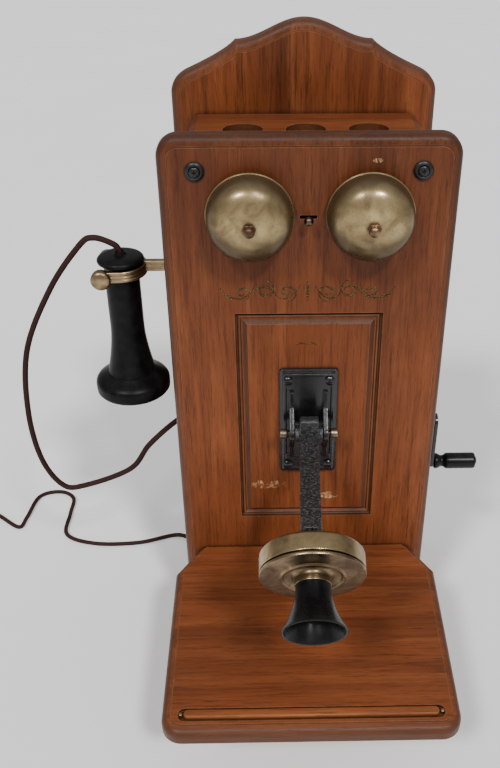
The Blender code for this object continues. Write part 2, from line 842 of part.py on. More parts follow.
def faceplate_profile():
    """Rim, face with a raised bead, dished middle and the collar."""
    bore = 9.2
    return [
        (CUP_RADIUS, FACE_Y + 2.8),
        (CUP_RADIUS, FACE_Y + 1.0),
        (CUP_RADIUS - 1.4, FACE_Y),
        (26.0, FACE_Y),
        (25.0, FACE_Y - 1.8),
        (23.0, FACE_Y - 1.8),
        (21.5, FACE_Y + 0.6),
        (16.4, FACE_Y + 1.2),
        (14.6, FACE_Y - 0.5),
        (14.1, COLLAR_Y),
        (bore, COLLAR_Y),
        (bore, FACE_Y + 3.0),
        (30.0, FACE_Y + 3.0),
        (38.4, FACE_Y + 4.6),
        (38.4, FACE_Y + 2.8),
    ]


def mouthpiece_profile():
    """Horn, flared by a power law, with its threaded stub in the collar."""
    front = COLLAR_Y - GAP
    outside = []
    for step in range(6):
        t = step / 5
        outside.append((13.4 + 11.8 * t**1.9, front - MOUTHPIECE_LENGTH * t))
    inside = [(radius - 2.2, y) for radius, y in outside[1:]]
    stub = [(6.4, front + 9.0), (8.8, front + 9.0), (8.8, front)]
    rim = [(outside[-1][0] - 1.0, outside[-1][1] - 0.8)]
    return stub + outside + rim + inside[::-1] + [(6.4, front - 3.0)]


# ------------------------------------------------------------------ receiver


def shell_radius(height):
    """Outer radius of the receiver shell: straight neck, then a smooth flare."""
    flare = min(max((346.0 - height) / 47.0, 0.0), 1.0)
    return NECK_RADIUS + 6.7 * flare**1.7


def add_receiver():
    axis = axis_empty("receiver_axis", (*RECEIVER_AXIS, 0.0))
    top = RECEIVER_SEAT - GAP
    heights = [top, 346.0, 336.0, 326.0, 316.0, 306.0, 298.6]
    outside = [(shell_radius(h), h) for h in heights]
    inside = [(shell_radius(h) - 3.0, h) for h in heights]
    add(
        "receiver_shell",
        "black_rubber",
        lathe(outside + inside[::-1], "Z", 24, closed=True),
        axis,
    )
    add_receiver_cap(axis)
    add_ear_cap(axis)
    disc = [(0.0, 286.0), (29.0, 286.0), (29.0, 286.8), (0.0, 286.8)]
    add("receiver_diaphragm", "steel", lathe(disc, "Z", 24), axis)
    add("receiver_magnet", "steel", block((-6.0, 6.0), (-4.0, 4.0), (301.0, 396.0)), axis)
    coil = [(0.0, 288.0), (9.0, 288.0), (9.0, 289.6), (7.6, 289.6), (7.6, 298.0)]
    coil += [(9.0, 298.0), (9.0, 299.6), (0.0, 299.6)]
    add("receiver_coil", "copper", lathe(coil, "Z", 12), axis)


def add_receiver_cap(axis):
    seat = RECEIVER_SEAT
    profile = [
        (3.7, seat - 7.0),
        (11.8, seat - 7.0),
        (11.8, seat),
        (16.4, seat),
        (17.4, seat + 2.9),
        (20.2, seat + 3.6),
        (21.0, seat + 5.6),
        (19.8, seat + 8.0),
        (15.0, seat + 9.8),
        (6.8, seat + 10.4),
        (5.2, seat + 11.2),
        (4.8, seat + 13.0),
        (3.7, seat + 13.0),
    ]
    add("receiver_cap", "black_rubber", lathe(profile, "Z", 24, closed=True), axis)


def add_ear_cap(axis):
    profile = [
        (6.0, 281.0),
        (14.0, 281.0),
        (29.0, 277.0),
        (33.5, 277.6),
        (35.0, 280.5),
        (35.0, 287.5),
        (33.6, 291.4),
        (28.5, 295.2),
        (23.0, 298.2),
        (18.0, 298.2),
        (18.0, 293.0),
        (30.0, 290.0),
        (30.0, 284.0),
        (6.0, 284.0),
    ]
    add("ear_cap", "black_rubber", lathe(profile, "Z", 28, closed=True), axis)


def add_cords():
    x, y = RECEIVER_AXIS
    top = RECEIVER_SEAT + 9.0
    side_view = [
        (x, top),
        (x - 0.3, top + 5.0),
        (-169.8, 426.6),
        (-186.2, 432.4),
        (-199.5, 425.0),
        (-231.1, 382.5),
        (-261.4, 319.3),
        (-271.0, 250.2),
        (-266.5, 192.0),
        (-249.5, 157.4),
        (-227.0, 156.0),
        (-178.0, 176.8),
        (-155.4, 207.7),
        (-126.1, 236.6),
        (-104.0, 249.2),
        (-84.0, 250.0),
    ]
    receiver_path = [(along, y, height) for along, height in side_view]
    add_cord("receiver_cord", RECEIVER_CORD_RADIUS, receiver_path)
    rest = LINE_CORD_RADIUS + 0.2
    line_path = [(-84.0, -32.0, 22.0), (-101.0, -32.0, 22.0), (-127.0, -13.0, 9.0)]
    on_table = [
        (-150.0, 3.0),
        (-194.2, -9.8),
        (-246.4, -10.3),
        (-283.3, 6.2),
        (-286.5, 45.0),
        (-288.0, 75.0),
        (-307.1, 88.4),
        (-332.0, 79.0),
        (-339.5, 39.3),
        (-345.5, 21.0),
        (-373.9, 42.0),
        (-402.0, 62.0),
    ]
    line_path += [(across, along, rest) for across, along in on_table]
    add_cord("line_cord", LINE_CORD_RADIUS, line_path)


# ---------------------------------------------------------------------- hook


def fork_outline(centre):
    """U of constant thickness round the receiver's neck, open towards -X."""
    half = FORK_HALF_THICK
    outer = arc(centre, FORK_RADIUS + half, 90.0, -90.0, 12)
    inner = arc(centre, FORK_RADIUS - half, -90.0, 90.0, 12)
    tip_x = centre[0] - 14.0
    rear = centre[1] + FORK_RADIUS
    front = centre[1] - FORK_RADIUS
    start = [(tip_x, rear - half), (tip_x, rear + half)]
    finish = [(tip_x, front - half), (tip_x, front + half)]
    return start + outer + finish + inner


def add_hook():
    axis = axis_empty("hook_axis", HOOK_PIVOT)
    centre = (RECEIVER_AXIS[0] - HOOK_PIVOT[0], RECEIVER_AXIS[1] - HOOK_PIVOT[1])
    lever = add("hook_lever", "brass", rod("Y", (0.0, 0.0), 6.0, -5.0, 5.0, 16), axis)
    root = centre[0] + FORK_RADIUS
    bar = prism(rectangle((root + 1.0, -3.0), (-3.0, 7.0)), "Y", -3.0, 3.0)
    tail = block((3.0, 26.0), (-3.0, 3.0), (-3.0, 3.0))
    fork = prism(fork_outline(centre), "Z", -5.0, 5.0)
    boss_place = (centre[0] - 15.0, -2.0)
    bosses = []
    for side in (-1, 1):
        near = side * (FORK_RADIUS - FORK_HALF_THICK - 0.2)
        far = side * (FORK_RADIUS + 6.5)
        boss = [(0.0, near), (8.0, near), (9.0, near + side), (9.0, far - side * 1.5)]
        boss += [(6.5, far), (0.0, far + side * 0.6)]
        bosses.append(lathe(boss, "Y", 16, boss_place))
    join(lever, bar, tail, fork, *bosses)
    cut(lever, rod("Y", (0.0, 0.0), 2.3, -9.0, 9.0, 12))
    add_hook_bracket()
    springs = [
        (-85.7, 346.0),
        (-76.0, 346.0),
        (-76.0, 360.0),
        (-37.0, 360.0),
        (-37.0, 396.0),
        (-38.2, 396.0),
        (-38.2, 361.2),
        (-76.0, 361.2),
        (-76.0, 372.0),
        (-85.7, 372.0),
    ]
    add("switch_springs", "brass", prism(springs, "Y", -95.0, -85.0))


def add_hook_bracket():
    wall = -(BOX_HALF_WIDTH - SIDE_THICK) + GAP
    centre = HOOK_PIVOT[1]
    section = [
        (wall, centre - 9.0),
        (-58.0, centre - 9.0),
        (-58.0, centre - 7.0),
        (wall + 2.0, centre - 7.0),
        (wall + 2.0, centre + 7.0),
        (-58.0, centre + 7.0),
        (-58.0, centre + 9.0),
        (wall, centre + 9.0),
    ]
    bracket = add("hook_bracket", "steel", prism(section, "Z", 378.0, 412.0))
    pivot = (HOOK_PIVOT[0], HOOK_PIVOT[2])
    join(bracket, rod("Y", pivot, 2.0, centre - 8.0, centre + 8.0, 12))
    cut(bracket, block((-90.0, -80.0), (centre - 5, centre + 5), (392.0, 420.0)))


# ----------------------------------------------------------- crank, generator


def add_crank():
    axis = axis_empty("crank_axis", (0.0, CRANK_Y, CRANK_Z))
    arm_near, arm_far = CRANK_ARM_X
    shaft = [
        (0.0, -8.0),
        (3.5, -7.5),
        (3.5, 76.0),
        (6.0, 76.0),
        (6.0, 80.0),
        (3.5, 80.0),
        (3.5, arm_near - 4.0),
        (6.0, arm_near - 4.0),
        (6.0, arm_near - GAP),
        (3.5, arm_near - GAP),
        (3.5, arm_far + 0.6),
        (0.0, arm_far + 1.0),
    ]
    add("crank_shaft", "steel", lathe(shaft, "X", 12), axis)
    teeth = gear_outline(GEAR_TEETH, -math.pi / 2)
    add("drive_gear", "brass", ring_gear(teeth, 3.8, "X", *GEAR_X), axis)
    arm_side = arc((0.0, 0.0), 8.5, 0.0, 180.0, 8)
    arm_side += arc((0.0, -CRANK_THROW), 6.5, 180.0, 360.0, 8)
    arm = add("crank_arm", "black_iron", prism(arm_side, "X", arm_near, arm_far), axis)
    grip_centre = (0.0, -CRANK_THROW)
    spindle = [
        (0.0, arm_far - 1.0),
        (2.6, arm_far - 1.0),
        (2.6, 181.2),
        (4.2, 181.2),
        (3.6, 182.2),
        (0.0, 182.6),
    ]
    join(arm, lathe(spindle, "X", 12, grip_centre))
    cut(arm, rod("X", (0.0, 0.0), 3.8, arm_near - 4, arm_far + 4))
    grip_axis = axis_empty("grip_axis", (0.0, 0.0, -CRANK_THROW), axis)
    grip = [
        (3.0, arm_far + 0.5),
        (7.0, arm_far + 0.5),
        (8.2, arm_far + 2.6),
        (7.6, arm_far + 5.2),
        (6.0, arm_far + 7.4),
        (6.0, arm_far + 10.0),
        (8.2, arm_far + 12.6),
        (8.4, 177.4),
        (8.0, 179.4),
        (6.6, 180.7),
        (3.0, 180.7),
    ]
    add("crank_grip", "black_gloss", lathe(grip, "X", 16, closed=True), grip_axis)
    outer = BOX_HALF_WIDTH + GAP
    bushing = [(3.9, 84.0), (7.0, 84.0), (7.0, outer), (11.0, outer)]
    bushing += [(10.0, outer + 2.4), (3.9, outer + 2.4)]
    add(
        "shaft_bushing",
        "brass",
        lathe(bushing, "X", 16, (CRANK_Y, CRANK_Z), closed=True),
    )


def add_generator():
    armature_z = CRANK_Z - GEAR_DISTANCE
    axis = axis_empty("armature_axis", (0.0, CRANK_Y, armature_z))
    rotor = [
        (0.0, -8.0),
        (3.0, -7.6),
        (3.0, 3.0),
        (13.0, 3.0),
        (13.0, 53.0),
        (3.0, 53.0),
        (3.0, 75.6),
        (0.0, 76.0),
    ]
    armature = add("armature", "copper", lathe(rotor, "X", 16), axis)
    phase = math.pi / PINION_TEETH + math.pi / 2
    join(armature, prism(gear_outline(PINION_TEETH, phase), "X", *GEAR_X))
    base = MAGNETO_SHELF_TOP + GAP
    frame_side = [
        (-5.0, base),
        (61.0, base),
        (61.0, CRANK_Z + 10.0),
        (57.0, CRANK_Z + 10.0),
        (57.0, base + 4.0),
        (-1.0, base + 4.0),
        (-1.0, CRANK_Z + 10.0),
        (-5.0, CRANK_Z + 10.0),
    ]
    frame = add(
        "magneto_frame",
        "black_iron",
        prism(frame_side, "Y", CRANK_Y - 16.0, CRANK_Y + 16.0),
    )
    crank_bore = rod("X", (CRANK_Y, CRANK_Z), 3.9, -12.0, 70.0)
    armature_bore = rod("X", (CRANK_Y, armature_z), 3.4, -12.0, 70.0)
    cut(frame, crank_bore, armature_bore)
    outer = arc((CRANK_Y, CRANK_Z), 31.0, 0.0, 180.0, 10)
    inner = arc((CRANK_Y, CRANK_Z), 20.5, 180.0, 0.0, 10)
    feet_left = [(CRANK_Y - 31.0, base), (CRANK_Y - 20.5, base)]
    feet_right = [(CRANK_Y + 20.5, base), (CRANK_Y + 31.0, base)]
    horseshoe = outer + feet_left + inner + feet_right
    add("magneto_magnet", "steel", prism(horseshoe, "X", 5.0, 51.0))


def add_electrical():
    coil = [(0.0, -40.0), (10.5, -40.0), (10.5, 40.0), (0.0, 40.0)]
    induction = add("induction_coil", "copper", lathe(coil, "X", 20, (-34.0, 300.0)))
    heads = []
    for x in (-44.0, 38.0):
        heads.append(block((x, x + 6.0), (-48.0, -18.5), (286.0, 314.0)))
    join(induction, *heads)
    for name, x in (("dry_cell_left", -33.0), ("dry_cell_right", 33.0)):
        cell = [
            (0.0, 12.3),
            (30.0, 12.3),
            (30.0, 148.0),
            (28.0, 148.0),
            (28.0, 145.0),
            (5.0, 145.0),
            (5.0, 152.0),
            (0.0, 152.0),
        ]
        add(name, "paper", lathe(cell, "Z", 20, (x, -72.0)))


def build():
    clear_scene()
    axis_empty(ROOT, FOOT_MIDDLE)
    add_back_board()
    add_box()
    add_front_board()
    add_writing_shelf()
    add_board_screws()
    add_gongs()
    add_ringer()
    add_bracket()
    add_arm()
    add_receiver()
    add_cords()
    add_hook()
    add_crank()
    add_generator()
    add_electrical()


build()
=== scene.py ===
"""Looks of the wall crank telephone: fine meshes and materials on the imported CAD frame.

Shapes are drawn in millimetres in the frame's own axes and placed from the CAD boxes.
"""

import json
from math import cos, pi, radians, sin, tan

import bmesh
import bpy
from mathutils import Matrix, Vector


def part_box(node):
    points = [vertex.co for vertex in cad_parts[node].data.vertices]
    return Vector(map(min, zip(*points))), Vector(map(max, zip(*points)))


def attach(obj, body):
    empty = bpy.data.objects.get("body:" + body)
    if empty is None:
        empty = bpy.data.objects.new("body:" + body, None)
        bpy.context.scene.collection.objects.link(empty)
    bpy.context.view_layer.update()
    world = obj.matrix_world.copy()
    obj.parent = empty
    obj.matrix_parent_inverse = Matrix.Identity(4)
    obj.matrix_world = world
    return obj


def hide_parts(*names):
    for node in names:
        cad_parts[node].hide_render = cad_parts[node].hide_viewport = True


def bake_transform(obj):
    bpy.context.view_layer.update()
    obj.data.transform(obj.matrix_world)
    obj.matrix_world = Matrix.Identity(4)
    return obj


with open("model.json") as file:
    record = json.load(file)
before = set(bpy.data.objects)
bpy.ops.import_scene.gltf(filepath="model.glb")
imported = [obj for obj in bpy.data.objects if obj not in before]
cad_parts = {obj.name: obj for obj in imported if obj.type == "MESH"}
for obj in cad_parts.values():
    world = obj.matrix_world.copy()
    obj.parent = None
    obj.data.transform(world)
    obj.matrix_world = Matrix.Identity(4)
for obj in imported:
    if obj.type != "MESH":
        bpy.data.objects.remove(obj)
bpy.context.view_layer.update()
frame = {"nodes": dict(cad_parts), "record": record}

MM = 0.001
SMOOTH_ANGLE = radians(34)
SIDES = ("left", "right")
BRACKET_CORNERS = ("lower_left", "lower_right", "upper_left", "upper_right")

# Corners of the crest as (half width, drop from the crown).
CREST_CORNER = (60.3, 18)
SHOULDER_START = (102, 42)
HANGING_HOLES_Z = (60, 470)
PANEL_HALF = (64, 113.4)
PANEL_MIDDLE = (1.5, 270.5)
BELL_SLOT = (7.2, 1.6)
VENT_PITCH = 53.5
VENT_RADIUS = 17
VENT_FROM_REAR = 51.7
SHELF_THICK = 16
SHELF_SLOPE = radians(4.3)
SHELF_CORNER = 18
SHELF_CHAMFER = 32
SHELF_REAR_HALF = 107
LATH_Y = -190.5
ORNAMENT_Z = 405
MARK_Z = 352.5
GONG_SQUARENESS = 0.65
BALL_RADIUS = 3.9
HEAD_TILT = radians(21)
HEAD_RADIUS = 41
HOOK_PIVOT_Z = 404
FORK_RADIUS = 20.5
RECEIVER_CORD_RADIUS = 2.8
LINE_CORD_RADIUS = 2.4
CORD_STEP = 0.75

# --- Looks


class Tree:
    """The node tree of a material or a world, with short calls for its nodes."""

    def __init__(self, owner, shader, coords):
        owner.use_nodes = True
        self.tree = owner.node_tree
        self.shader = self.tree.nodes[shader]
        self.coords = self.node("ShaderNodeTexCoord").outputs[coords]

    def node(self, kind, inputs=None, **settings):
        made = self.tree.nodes.new(kind)
        for key, value in settings.items():
            setattr(made, key, value)
        for key, value in (inputs or {}).items():
            self.feed(made.inputs[key], value)
        return made

    def feed(self, socket, value):
        if isinstance(value, bpy.types.NodeSocket):
            self.tree.links.new(value, socket)
        elif isinstance(value, tuple) and socket.type == "RGBA":
            socket.default_value = (*value, 1)
        else:
            socket.default_value = value

    def set(self, name, value):
        self.feed(self.shader.inputs[name], value)

    def part(self, vector, axis):
        return self.node("ShaderNodeSeparateXYZ", {"Vector": vector}).outputs[axis]

    def mix(self, factor, first, second, kind="MIX"):
        inputs = {0: factor, 6: first, 7: second}
        made = self.node("ShaderNodeMix", inputs, data_type="RGBA", blend_type=kind)
        return made.outputs[2]


class Look(Tree):
    """A Principled material."""

    def __init__(self, name, roughness=0.5, metallic=0):
        self.material = bpy.data.materials.new(name)
        super().__init__(self.material, "Principled BSDF", "Object")
        self.set("Roughness", roughness)
        self.set("Metallic", metallic)

    def place(self, scale, offset=(0, 0, 0)):
        inputs = {"Vector": self.coords, "Scale": scale, "Location": offset}
        return self.node("ShaderNodeMapping", inputs).outputs["Vector"]

    def noise(self, scale, detail=3, roughness=0.55, distortion=0, at=None):
        inputs = {"Vector": at or self.coords, "Scale": scale, "Detail": detail}
        inputs |= {"Roughness": roughness, "Distortion": distortion}
        return self.node("ShaderNodeTexNoise", inputs).outputs["Fac"]

    def ramp(self, factor, *stops):
        """Value ramp through (position, value) stops."""
        made = self.node("ShaderNodeValToRGB", {"Fac": factor})
        points = made.color_ramp.elements
        while len(points) < len(stops):
            points.new(0.5)
        for point, (position, value) in zip(points, stops):
            point.position = position
            point.color = (value, value, value, 1)
        return made.outputs["Color"]

    def darken(self, colour, factor, amount=1):
        return self.mix(amount, colour, factor, "MULTIPLY")

    def math(self, operation, first, second=0):
        return self.node("ShaderNodeMath", {0: first, 1: second}, operation=operation).outputs[0]

    def times(self, first, second):
        return self.math("MULTIPLY", first, second)

    def bump(self, *layers):
        """Stacks (height, distance in metres) layers into the normal."""
        stacked = {}
        for height, distance in layers:
            inputs = {"Strength": 1, "Distance": distance, "Height": height, **stacked}
            stacked = {"Normal": self.node("ShaderNodeBump", inputs).outputs["Normal"]}
        self.set("Normal", stacked["Normal"])

    def finished(self, colour, *layers):
        self.set("Base Color", colour)
        self.bump(*layers)
        return self.material

    # Ambient occlusion, used to paint shade into corners and hollows.
    def occlusion_shade(self, reach):
        """1 on open faces, towards 0 in corners narrower than reach."""
        return self.node("ShaderNodeAmbientOcclusion", {"Distance": reach}, samples=6).outputs["AO"]

    def edges(self, radius):
        """0 on flat faces, towards 1 on sharp edges."""
        bevel = self.node("ShaderNodeBevel", {"Radius": radius}, samples=4)
        inputs = {0: bevel.outputs["Normal"], 1: self.normal()}
        dot = self.node("ShaderNodeVectorMath", inputs, operation="DOT_PRODUCT")
        return self.ramp(dot.outputs["Value"], (0.80, 1), (0.985, 0))

    def normal(self):
        return self.node("ShaderNodeNewGeometry").outputs["Normal"]

    def away_from(self, axis, *stops):
        """Amount given by how squarely a side faces either way along an axis, 0 to 1."""
        return self.ramp(self.math("ABSOLUTE", self.part(self.normal(), axis)), *stops)


GRAIN = {"X": (0.05, 1, 1), "Z": (1, 1, 0.05)}
SIDE_SHADE = (0.050, 0.023, 0.012)
BARE_EDGE_AND_HIGHLIGHT = (0.34, 0.17, 0.085)
SCRATCHED = (0.52, 0.31, 0.15)
PORE = (0.03, 0.010, 0.005)
SPECK = (0.05, 0.035, 0.018)
RUBBED = (0.16, 0.14, 0.12)


def wood_look(name, grain, offset, tones, scuffs=(), face=None, shaded_top=False):
    """Varnished straight-grained wood; scuffs are (x, z, radius) in millimetres.

    Tones are (mid, dark, light). Sides turned away from the face axis get painted shade,
    and so does the top of a board with a shaded top.
    """
    mid, dark, light = tones
    look = Look(name)
    flow = look.place(GRAIN[grain], offset)
    figure = look.noise(13, 4, 0.6, 1.2, flow)
    streaks = look.noise(85, 5, 0.65, 0.4, flow)
    fibres = look.noise(380, 4, 0.8, at=flow)
    pores = look.ramp(look.noise(1300, 2, 0.6, at=flow), (0.30, 1), (0.42, 0))
    colour = look.mix(look.ramp(figure, (0.30, 0), (0.56, 1)), dark, mid)
    colour = look.mix(look.ramp(streaks, (0.50, 0), (0.80, 0.7)), colour, light)
    colour = look.mix(look.ramp(streaks, (0.24, 0.8), (0.42, 0)), colour, dark)
    flecks = look.ramp(fibres, (0.32, 0.40), (0.50, 0.95), (0.70, 1))
    colour = look.darken(colour, flecks, 0.9)
    shade = look.noise(9, 3, 0.6, at=look.place((1, 1, 1), offset))
    colour = look.mix(look.ramp(shade, (0.40, 0.35), (0.62, 0)), colour, dark)
    colour = look.mix(look.times(pores, 0.5), colour, PORE)
    # Painted shade on sides turned away from the face axis.
    if face:
        colour = look.mix(look.away_from(face, (0.88, 0.62), (0.98, 0)), colour, SIDE_SHADE)
    # Painted shade: the board gets darker towards its top.
    if shaded_top:
        height = look.part(look.coords, "Z")
        colour = look.darken(colour, look.ramp(height, (0.30, 1), (0.50, 0.66)))
    # Painted shade: darker in corners and grooves, from ambient occlusion.
    colour = look.darken(colour, look.ramp(look.occlusion_shade(0.006), (0.30, 0.34), (0.85, 1)))
    # Lighter edges: bare wood worn through in patches, and partly a painted highlight along the
    # arrises.
    patches = look.ramp(look.noise(70, 4, 0.7), (0.40, 0.35), (0.60, 1))
    worn = look.times(look.edges(0.0012), patches)
    colour = look.mix(look.times(worn, 0.8), colour, BARE_EDGE_AND_HIGHLIGHT)
    for scuff in scuffs:
        colour = look.mix(scuff_mask(look, *scuff), colour, SCRATCHED)
    look.set("Roughness", look.ramp(look.noise(24), (0.3, 0.36), (0.7, 0.52)))
    look.set("Specular IOR Level", 0.22)
    return look.finished(colour, (fibres, 0.00005), (pores, -0.00008), (streaks, 0.00008))


def scuff_mask(look, x, z, radius):
    """Ragged scratch marks within radius of a place on an upright face."""
    across = look.math("SUBTRACT", look.part(look.coords, "X"), x * MM)
    upward = look.times(look.math("SUBTRACT", look.part(look.coords, "Z"), z * MM), 2.2)
    reach = look.math("ADD", look.math("POWER", across, 2), look.math("POWER", upward, 2))
    near = look.math("LESS_THAN", reach, (radius * MM) ** 2)
    ragged = look.noise(190, 5, 0.75, 1, look.place((1, 1, 0.7), (x, z, 0)))
    return look.times(near, look.ramp(ragged, (0.50, 0), (0.60, 0.85)))


def brass_look(name, bright, tarnish, roughness, cover, spots, rim=None):
    """Aged brass: tarnish clouds, dark specks, polished edges and fine scratches.

    Rim is the colour of painted shade on surfaces that turn away from the front and on
    surfaces that face downward, on a piece that an even brown film has dulled all over.
    """
    look = Look(name, metallic=0.62 if rim else 1)
    clouds = look.noise(46, 5, 0.62, 0.6)
    tarnished = look.ramp(clouds, (cover - 0.16, 1), (cover + 0.16, 0))
    colour = look.mix(tarnished, bright, tarnish)
    specks = look.ramp(look.noise(700, 2, 0.7), (0.30, 1), (0.40, 0))
    colour = look.mix(look.times(specks, spots), colour, SPECK)
    if rim:
        # Painted shade: sides turned away from the front and downward-facing surfaces take the rim
        # colour.
        turned_away_shade = look.away_from("Y", (0.30, 0.90), (0.86, 0.42), (0.985, 0))
        colour = look.mix(turned_away_shade, colour, rim)
        downward_shade = look.times(look.part(look.normal(), "Z"), -1)
        colour = look.mix(look.ramp(downward_shade, (0, 0), (0.22, 0.88)), colour, rim)
    # Painted shade in hollows, from ambient occlusion.
    colour = look.darken(colour, look.ramp(look.occlusion_shade(0.004), (0.3, 0.35), (0.9, 1)))
    colour = look.mix(look.times(look.edges(0.0012), 0.8), colour, bright)
    scratches = look.noise(900, 2, at=look.place((1, 0.15, 0.5)))
    rough = look.math("ADD", look.times(tarnished, 0.16), roughness)
    look.set("Roughness", look.math("ADD", rough, look.times(scratches, 0.08)))
    return look.finished(colour, (scratches, 0.00001), (specks, -0.00003), (clouds, 0.00012))


def black_look(name, colour, roughness, wear, shine, grain, depth, fleck=None):
    """Black finish with a fine surface grain, dull patches and rubbed edges."""
    look = Look(name)
    patches = look.noise(90, 4, 0.6)
    grey = tuple(channel + 0.006 for channel in colour)
    mixed = look.mix(look.ramp(patches, (0.4, 0), (0.7, 1)), colour, grey)
    mixed = look.mix(look.times(look.edges(0.0009), wear), mixed, RUBBED)
    fine = look.noise(grain, 3, 0.6)
    if fleck:
        mixed = look.mix(look.ramp(fine, (0.48, 0), (0.66, 1)), mixed, fleck)
    look.set("Specular IOR Level", shine)
    look.set("Roughness", look.math("ADD", look.times(patches, 0.18), roughness))
    return look.finished(mixed, (fine, depth))


def steel_look():
    look = Look("brushed_steel", 0.34, 1)
    brushed = look.noise(1400, 2, at=look.place((1, 0.06, 1)))
    stains = look.noise(80)
    look.set("Roughness", look.ramp(brushed, (0.2, 0.24), (0.8, 0.44)))
    colour = look.mix(stains, (0.42, 0.40, 0.37), (0.60, 0.59, 0.57))
    return look.finished(colour, (brushed, 0.00001))


def winding_look():
    """Cotton-covered wire wound in close turns."""
    look = Look("coil_winding", 0.75)
    inputs = {"Vector": look.coords, "Scale": 380, "Distortion": 0.3, "Detail": 2}
    bands = {"wave_type": "BANDS", "bands_direction": "Y"}
    turns = look.node("ShaderNodeTexWave", inputs, **bands).outputs["Fac"]
    colour = look.mix(look.noise(60), (0.10, 0.045, 0.02), (0.26, 0.12, 0.05))
    return look.finished(colour, (turns, 0.0002))


def paper_look():
    """Waxed paper jacket of a dry cell."""
    look = Look("cell_jacket", 0.6)
    colour = look.mix(look.noise(26, 4), (0.22, 0.17, 0.09), (0.40, 0.34, 0.21))
    return look.finished(colour, (look.noise(500, 4, 0.7), 0.00008))


def braid_look():
    """Dark brown cotton braid; the crossing strands are modelled in the mesh."""
    look = Look("cord_braid", 0.72)
    dark = look.mix(look.noise(30), (0.020, 0.0065, 0.0055), (0.040, 0.0135, 0.0115))
    # Painted shade between the strands, from ambient occlusion.
    colour = look.darken(dark, look.ramp(look.occlusion_shade(0.0012), (0.4, 0.35), (1, 1)))
    look.set("Specular IOR Level", 0.2)
    return look.finished(colour, (look.noise(1600, 3, 0.7), 0.00008))


def gilt_look():
    """Thin worn gilding that lets the wood through."""
    look = Look("worn_gilding", 0.5, 0.6)
    worn = look.ramp(look.noise(150, 5, 0.75), (0.42, 0.04), (0.62, 0.42))
    look.set("Alpha", worn)
    return look.finished((0.22, 0.15, 0.05), (worn, 0.00003))


# --- Shapes

AXES = {
    "X": lambda a, b, h: (h, a, b),
    "Y": lambda a, b, h: (a, h, b),
    "Z": lambda a, b, h: (a, b, h),
}


def box_mm(node):
    """(lowest corner, highest corner) of a CAD node, in millimetres."""
    low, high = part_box(node)
    return Vector(low) / MM, Vector(high) / MM


def middle_mm(node):
    low, high = box_mm(node)
    return (low + high) / 2


def centre_mm(node, axis):
    """The middle of a CAD node in the plane across an axis."""
    middle = middle_mm(node)
    return {"X": (middle.y, middle.z), "Y": (middle.x, middle.z), "Z": (middle.x, middle.y)}[axis]


def polar(centre, radius, angle):
    return (centre[0] + radius * cos(angle), centre[1] + radius * sin(angle))


def fractions(steps):
    return [step / steps for step in range(steps + 1)]


def arc(centre, radius, start, end, steps):
    points = []
    for step in range(steps + 1):
        angle = radians(start + (end - start) * step / steps)
        points.append(polar(centre, radius, angle))
    return points


def circle(centre, radius, segments):
    return arc(centre, radius, 0, 360, segments)[:-1]


def bend(start, control, end, steps):
    """Points of a curve that leaves start towards control and arrives at end from it."""
    points = []
    for t in fractions(steps):
        s = 1 - t
        trio = zip(start, control, end)
        points.append(tuple(s**2 * a + 2 * t * s * b + t * t * c for a, b, c in trio))
    return points


def counted(start, pairs):
    """Profile points (radius, place) with each place counted from start."""
    return [(radius, start + offset) for radius, offset in pairs]


def rectangle(x_range, y_range):
    (left, right), (low, high) = x_range, y_range
    return [(left, low), (right, low), (right, high), (left, high)]


def around(middle, half):
    return (middle - half, middle + half)


def narrowed(ends, distance):
    return (ends[0] + distance, ends[1] - distance)


def rounded_rectangle(x_range, y_range, radius, steps):
    inner = rectangle(narrowed(x_range, radius), narrowed(y_range, radius))
    points = []
    for corner, start in zip(inner[1:] + inner[:1], (-90, 0, 90, 180)):
        points += arc(corner, radius, start, start + 90, steps)
    return points


def inset(outline, distance):
    """The anticlockwise outline moved inward along each corner's mitre."""
    shrunk = []
    for index, here in enumerate(outline):
        here = Vector(here)
        before = (here - Vector(outline[index - 1])).normalized()
        after = (Vector(outline[(index + 1) % len(outline)]) - here).normalized()
        normal_before = Vector((-before.y, before.x))
        normal_after = Vector((-after.y, after.x))
        mitre = (normal_before + normal_after) / (1 + normal_before.dot(normal_after))
        shrunk.append(tuple(here + mitre * distance))
    return shrunk


def loft(rings, closed=False):
    """Skin over rings of points; a ring of one point is a pole."""
    vertices, starts, faces = [], [], []
    for ring in rings:
        starts.append(len(vertices))
        vertices += ring
    pairs = list(zip(range(len(rings)), range(1, len(rings))))
    if closed:
        pairs.append((len(rings) - 1, 0))
    for low, high in pairs:
        faces += band(starts[low], len(rings[low]), starts[high], len(rings[high]))
    if not closed:
        for end in (0, len(rings) - 1):
            if len(rings[end]) > 1:
                faces.append([starts[end] + i for i in range(len(rings[end]))])
    return vertices, faces


def band(low, low_count, high, high_count):
    """Faces between two rings, where a ring of one point is a pole."""
    count = max(low_count, high_count)
    faces = []
    for i in range(count if count > 1 else 0):
        j = (i + 1) % count
        if low_count == 1:
            faces.append([low, high + i, high + j])
        elif high_count == 1:
            faces.append([low + i, low + j, high])
        else:
            faces.append([low + i, low + j, high + j, high + i])
    return faces


def at_height(outline, axis, height):
    return [AXES[axis](a, b, height) for a, b in outline]


def prism(outline, axis, start, end):
    return loft([at_height(outline, axis, height) for height in (start, end)])


def block(x_range, y_range, z_range):
    return prism(rectangle(x_range, y_range), "Z", *z_range)


def stepped(outline, steps, axis):
    """A board whose edge follows steps of (inset, height)."""
    return loft([at_height(inset(outline, distance), axis, height) for distance, height in steps])


def turned(profile, axis, centre=(0, 0), segments=72, closed=False):
    """Turns a profile of (radius, height) round an axis through centre."""
    rings = []
    for radius, height in profile:
        ring = circle(centre, radius, segments) if radius else [centre]
        rings.append(at_height(ring, axis, height))
    return loft(rings, closed)


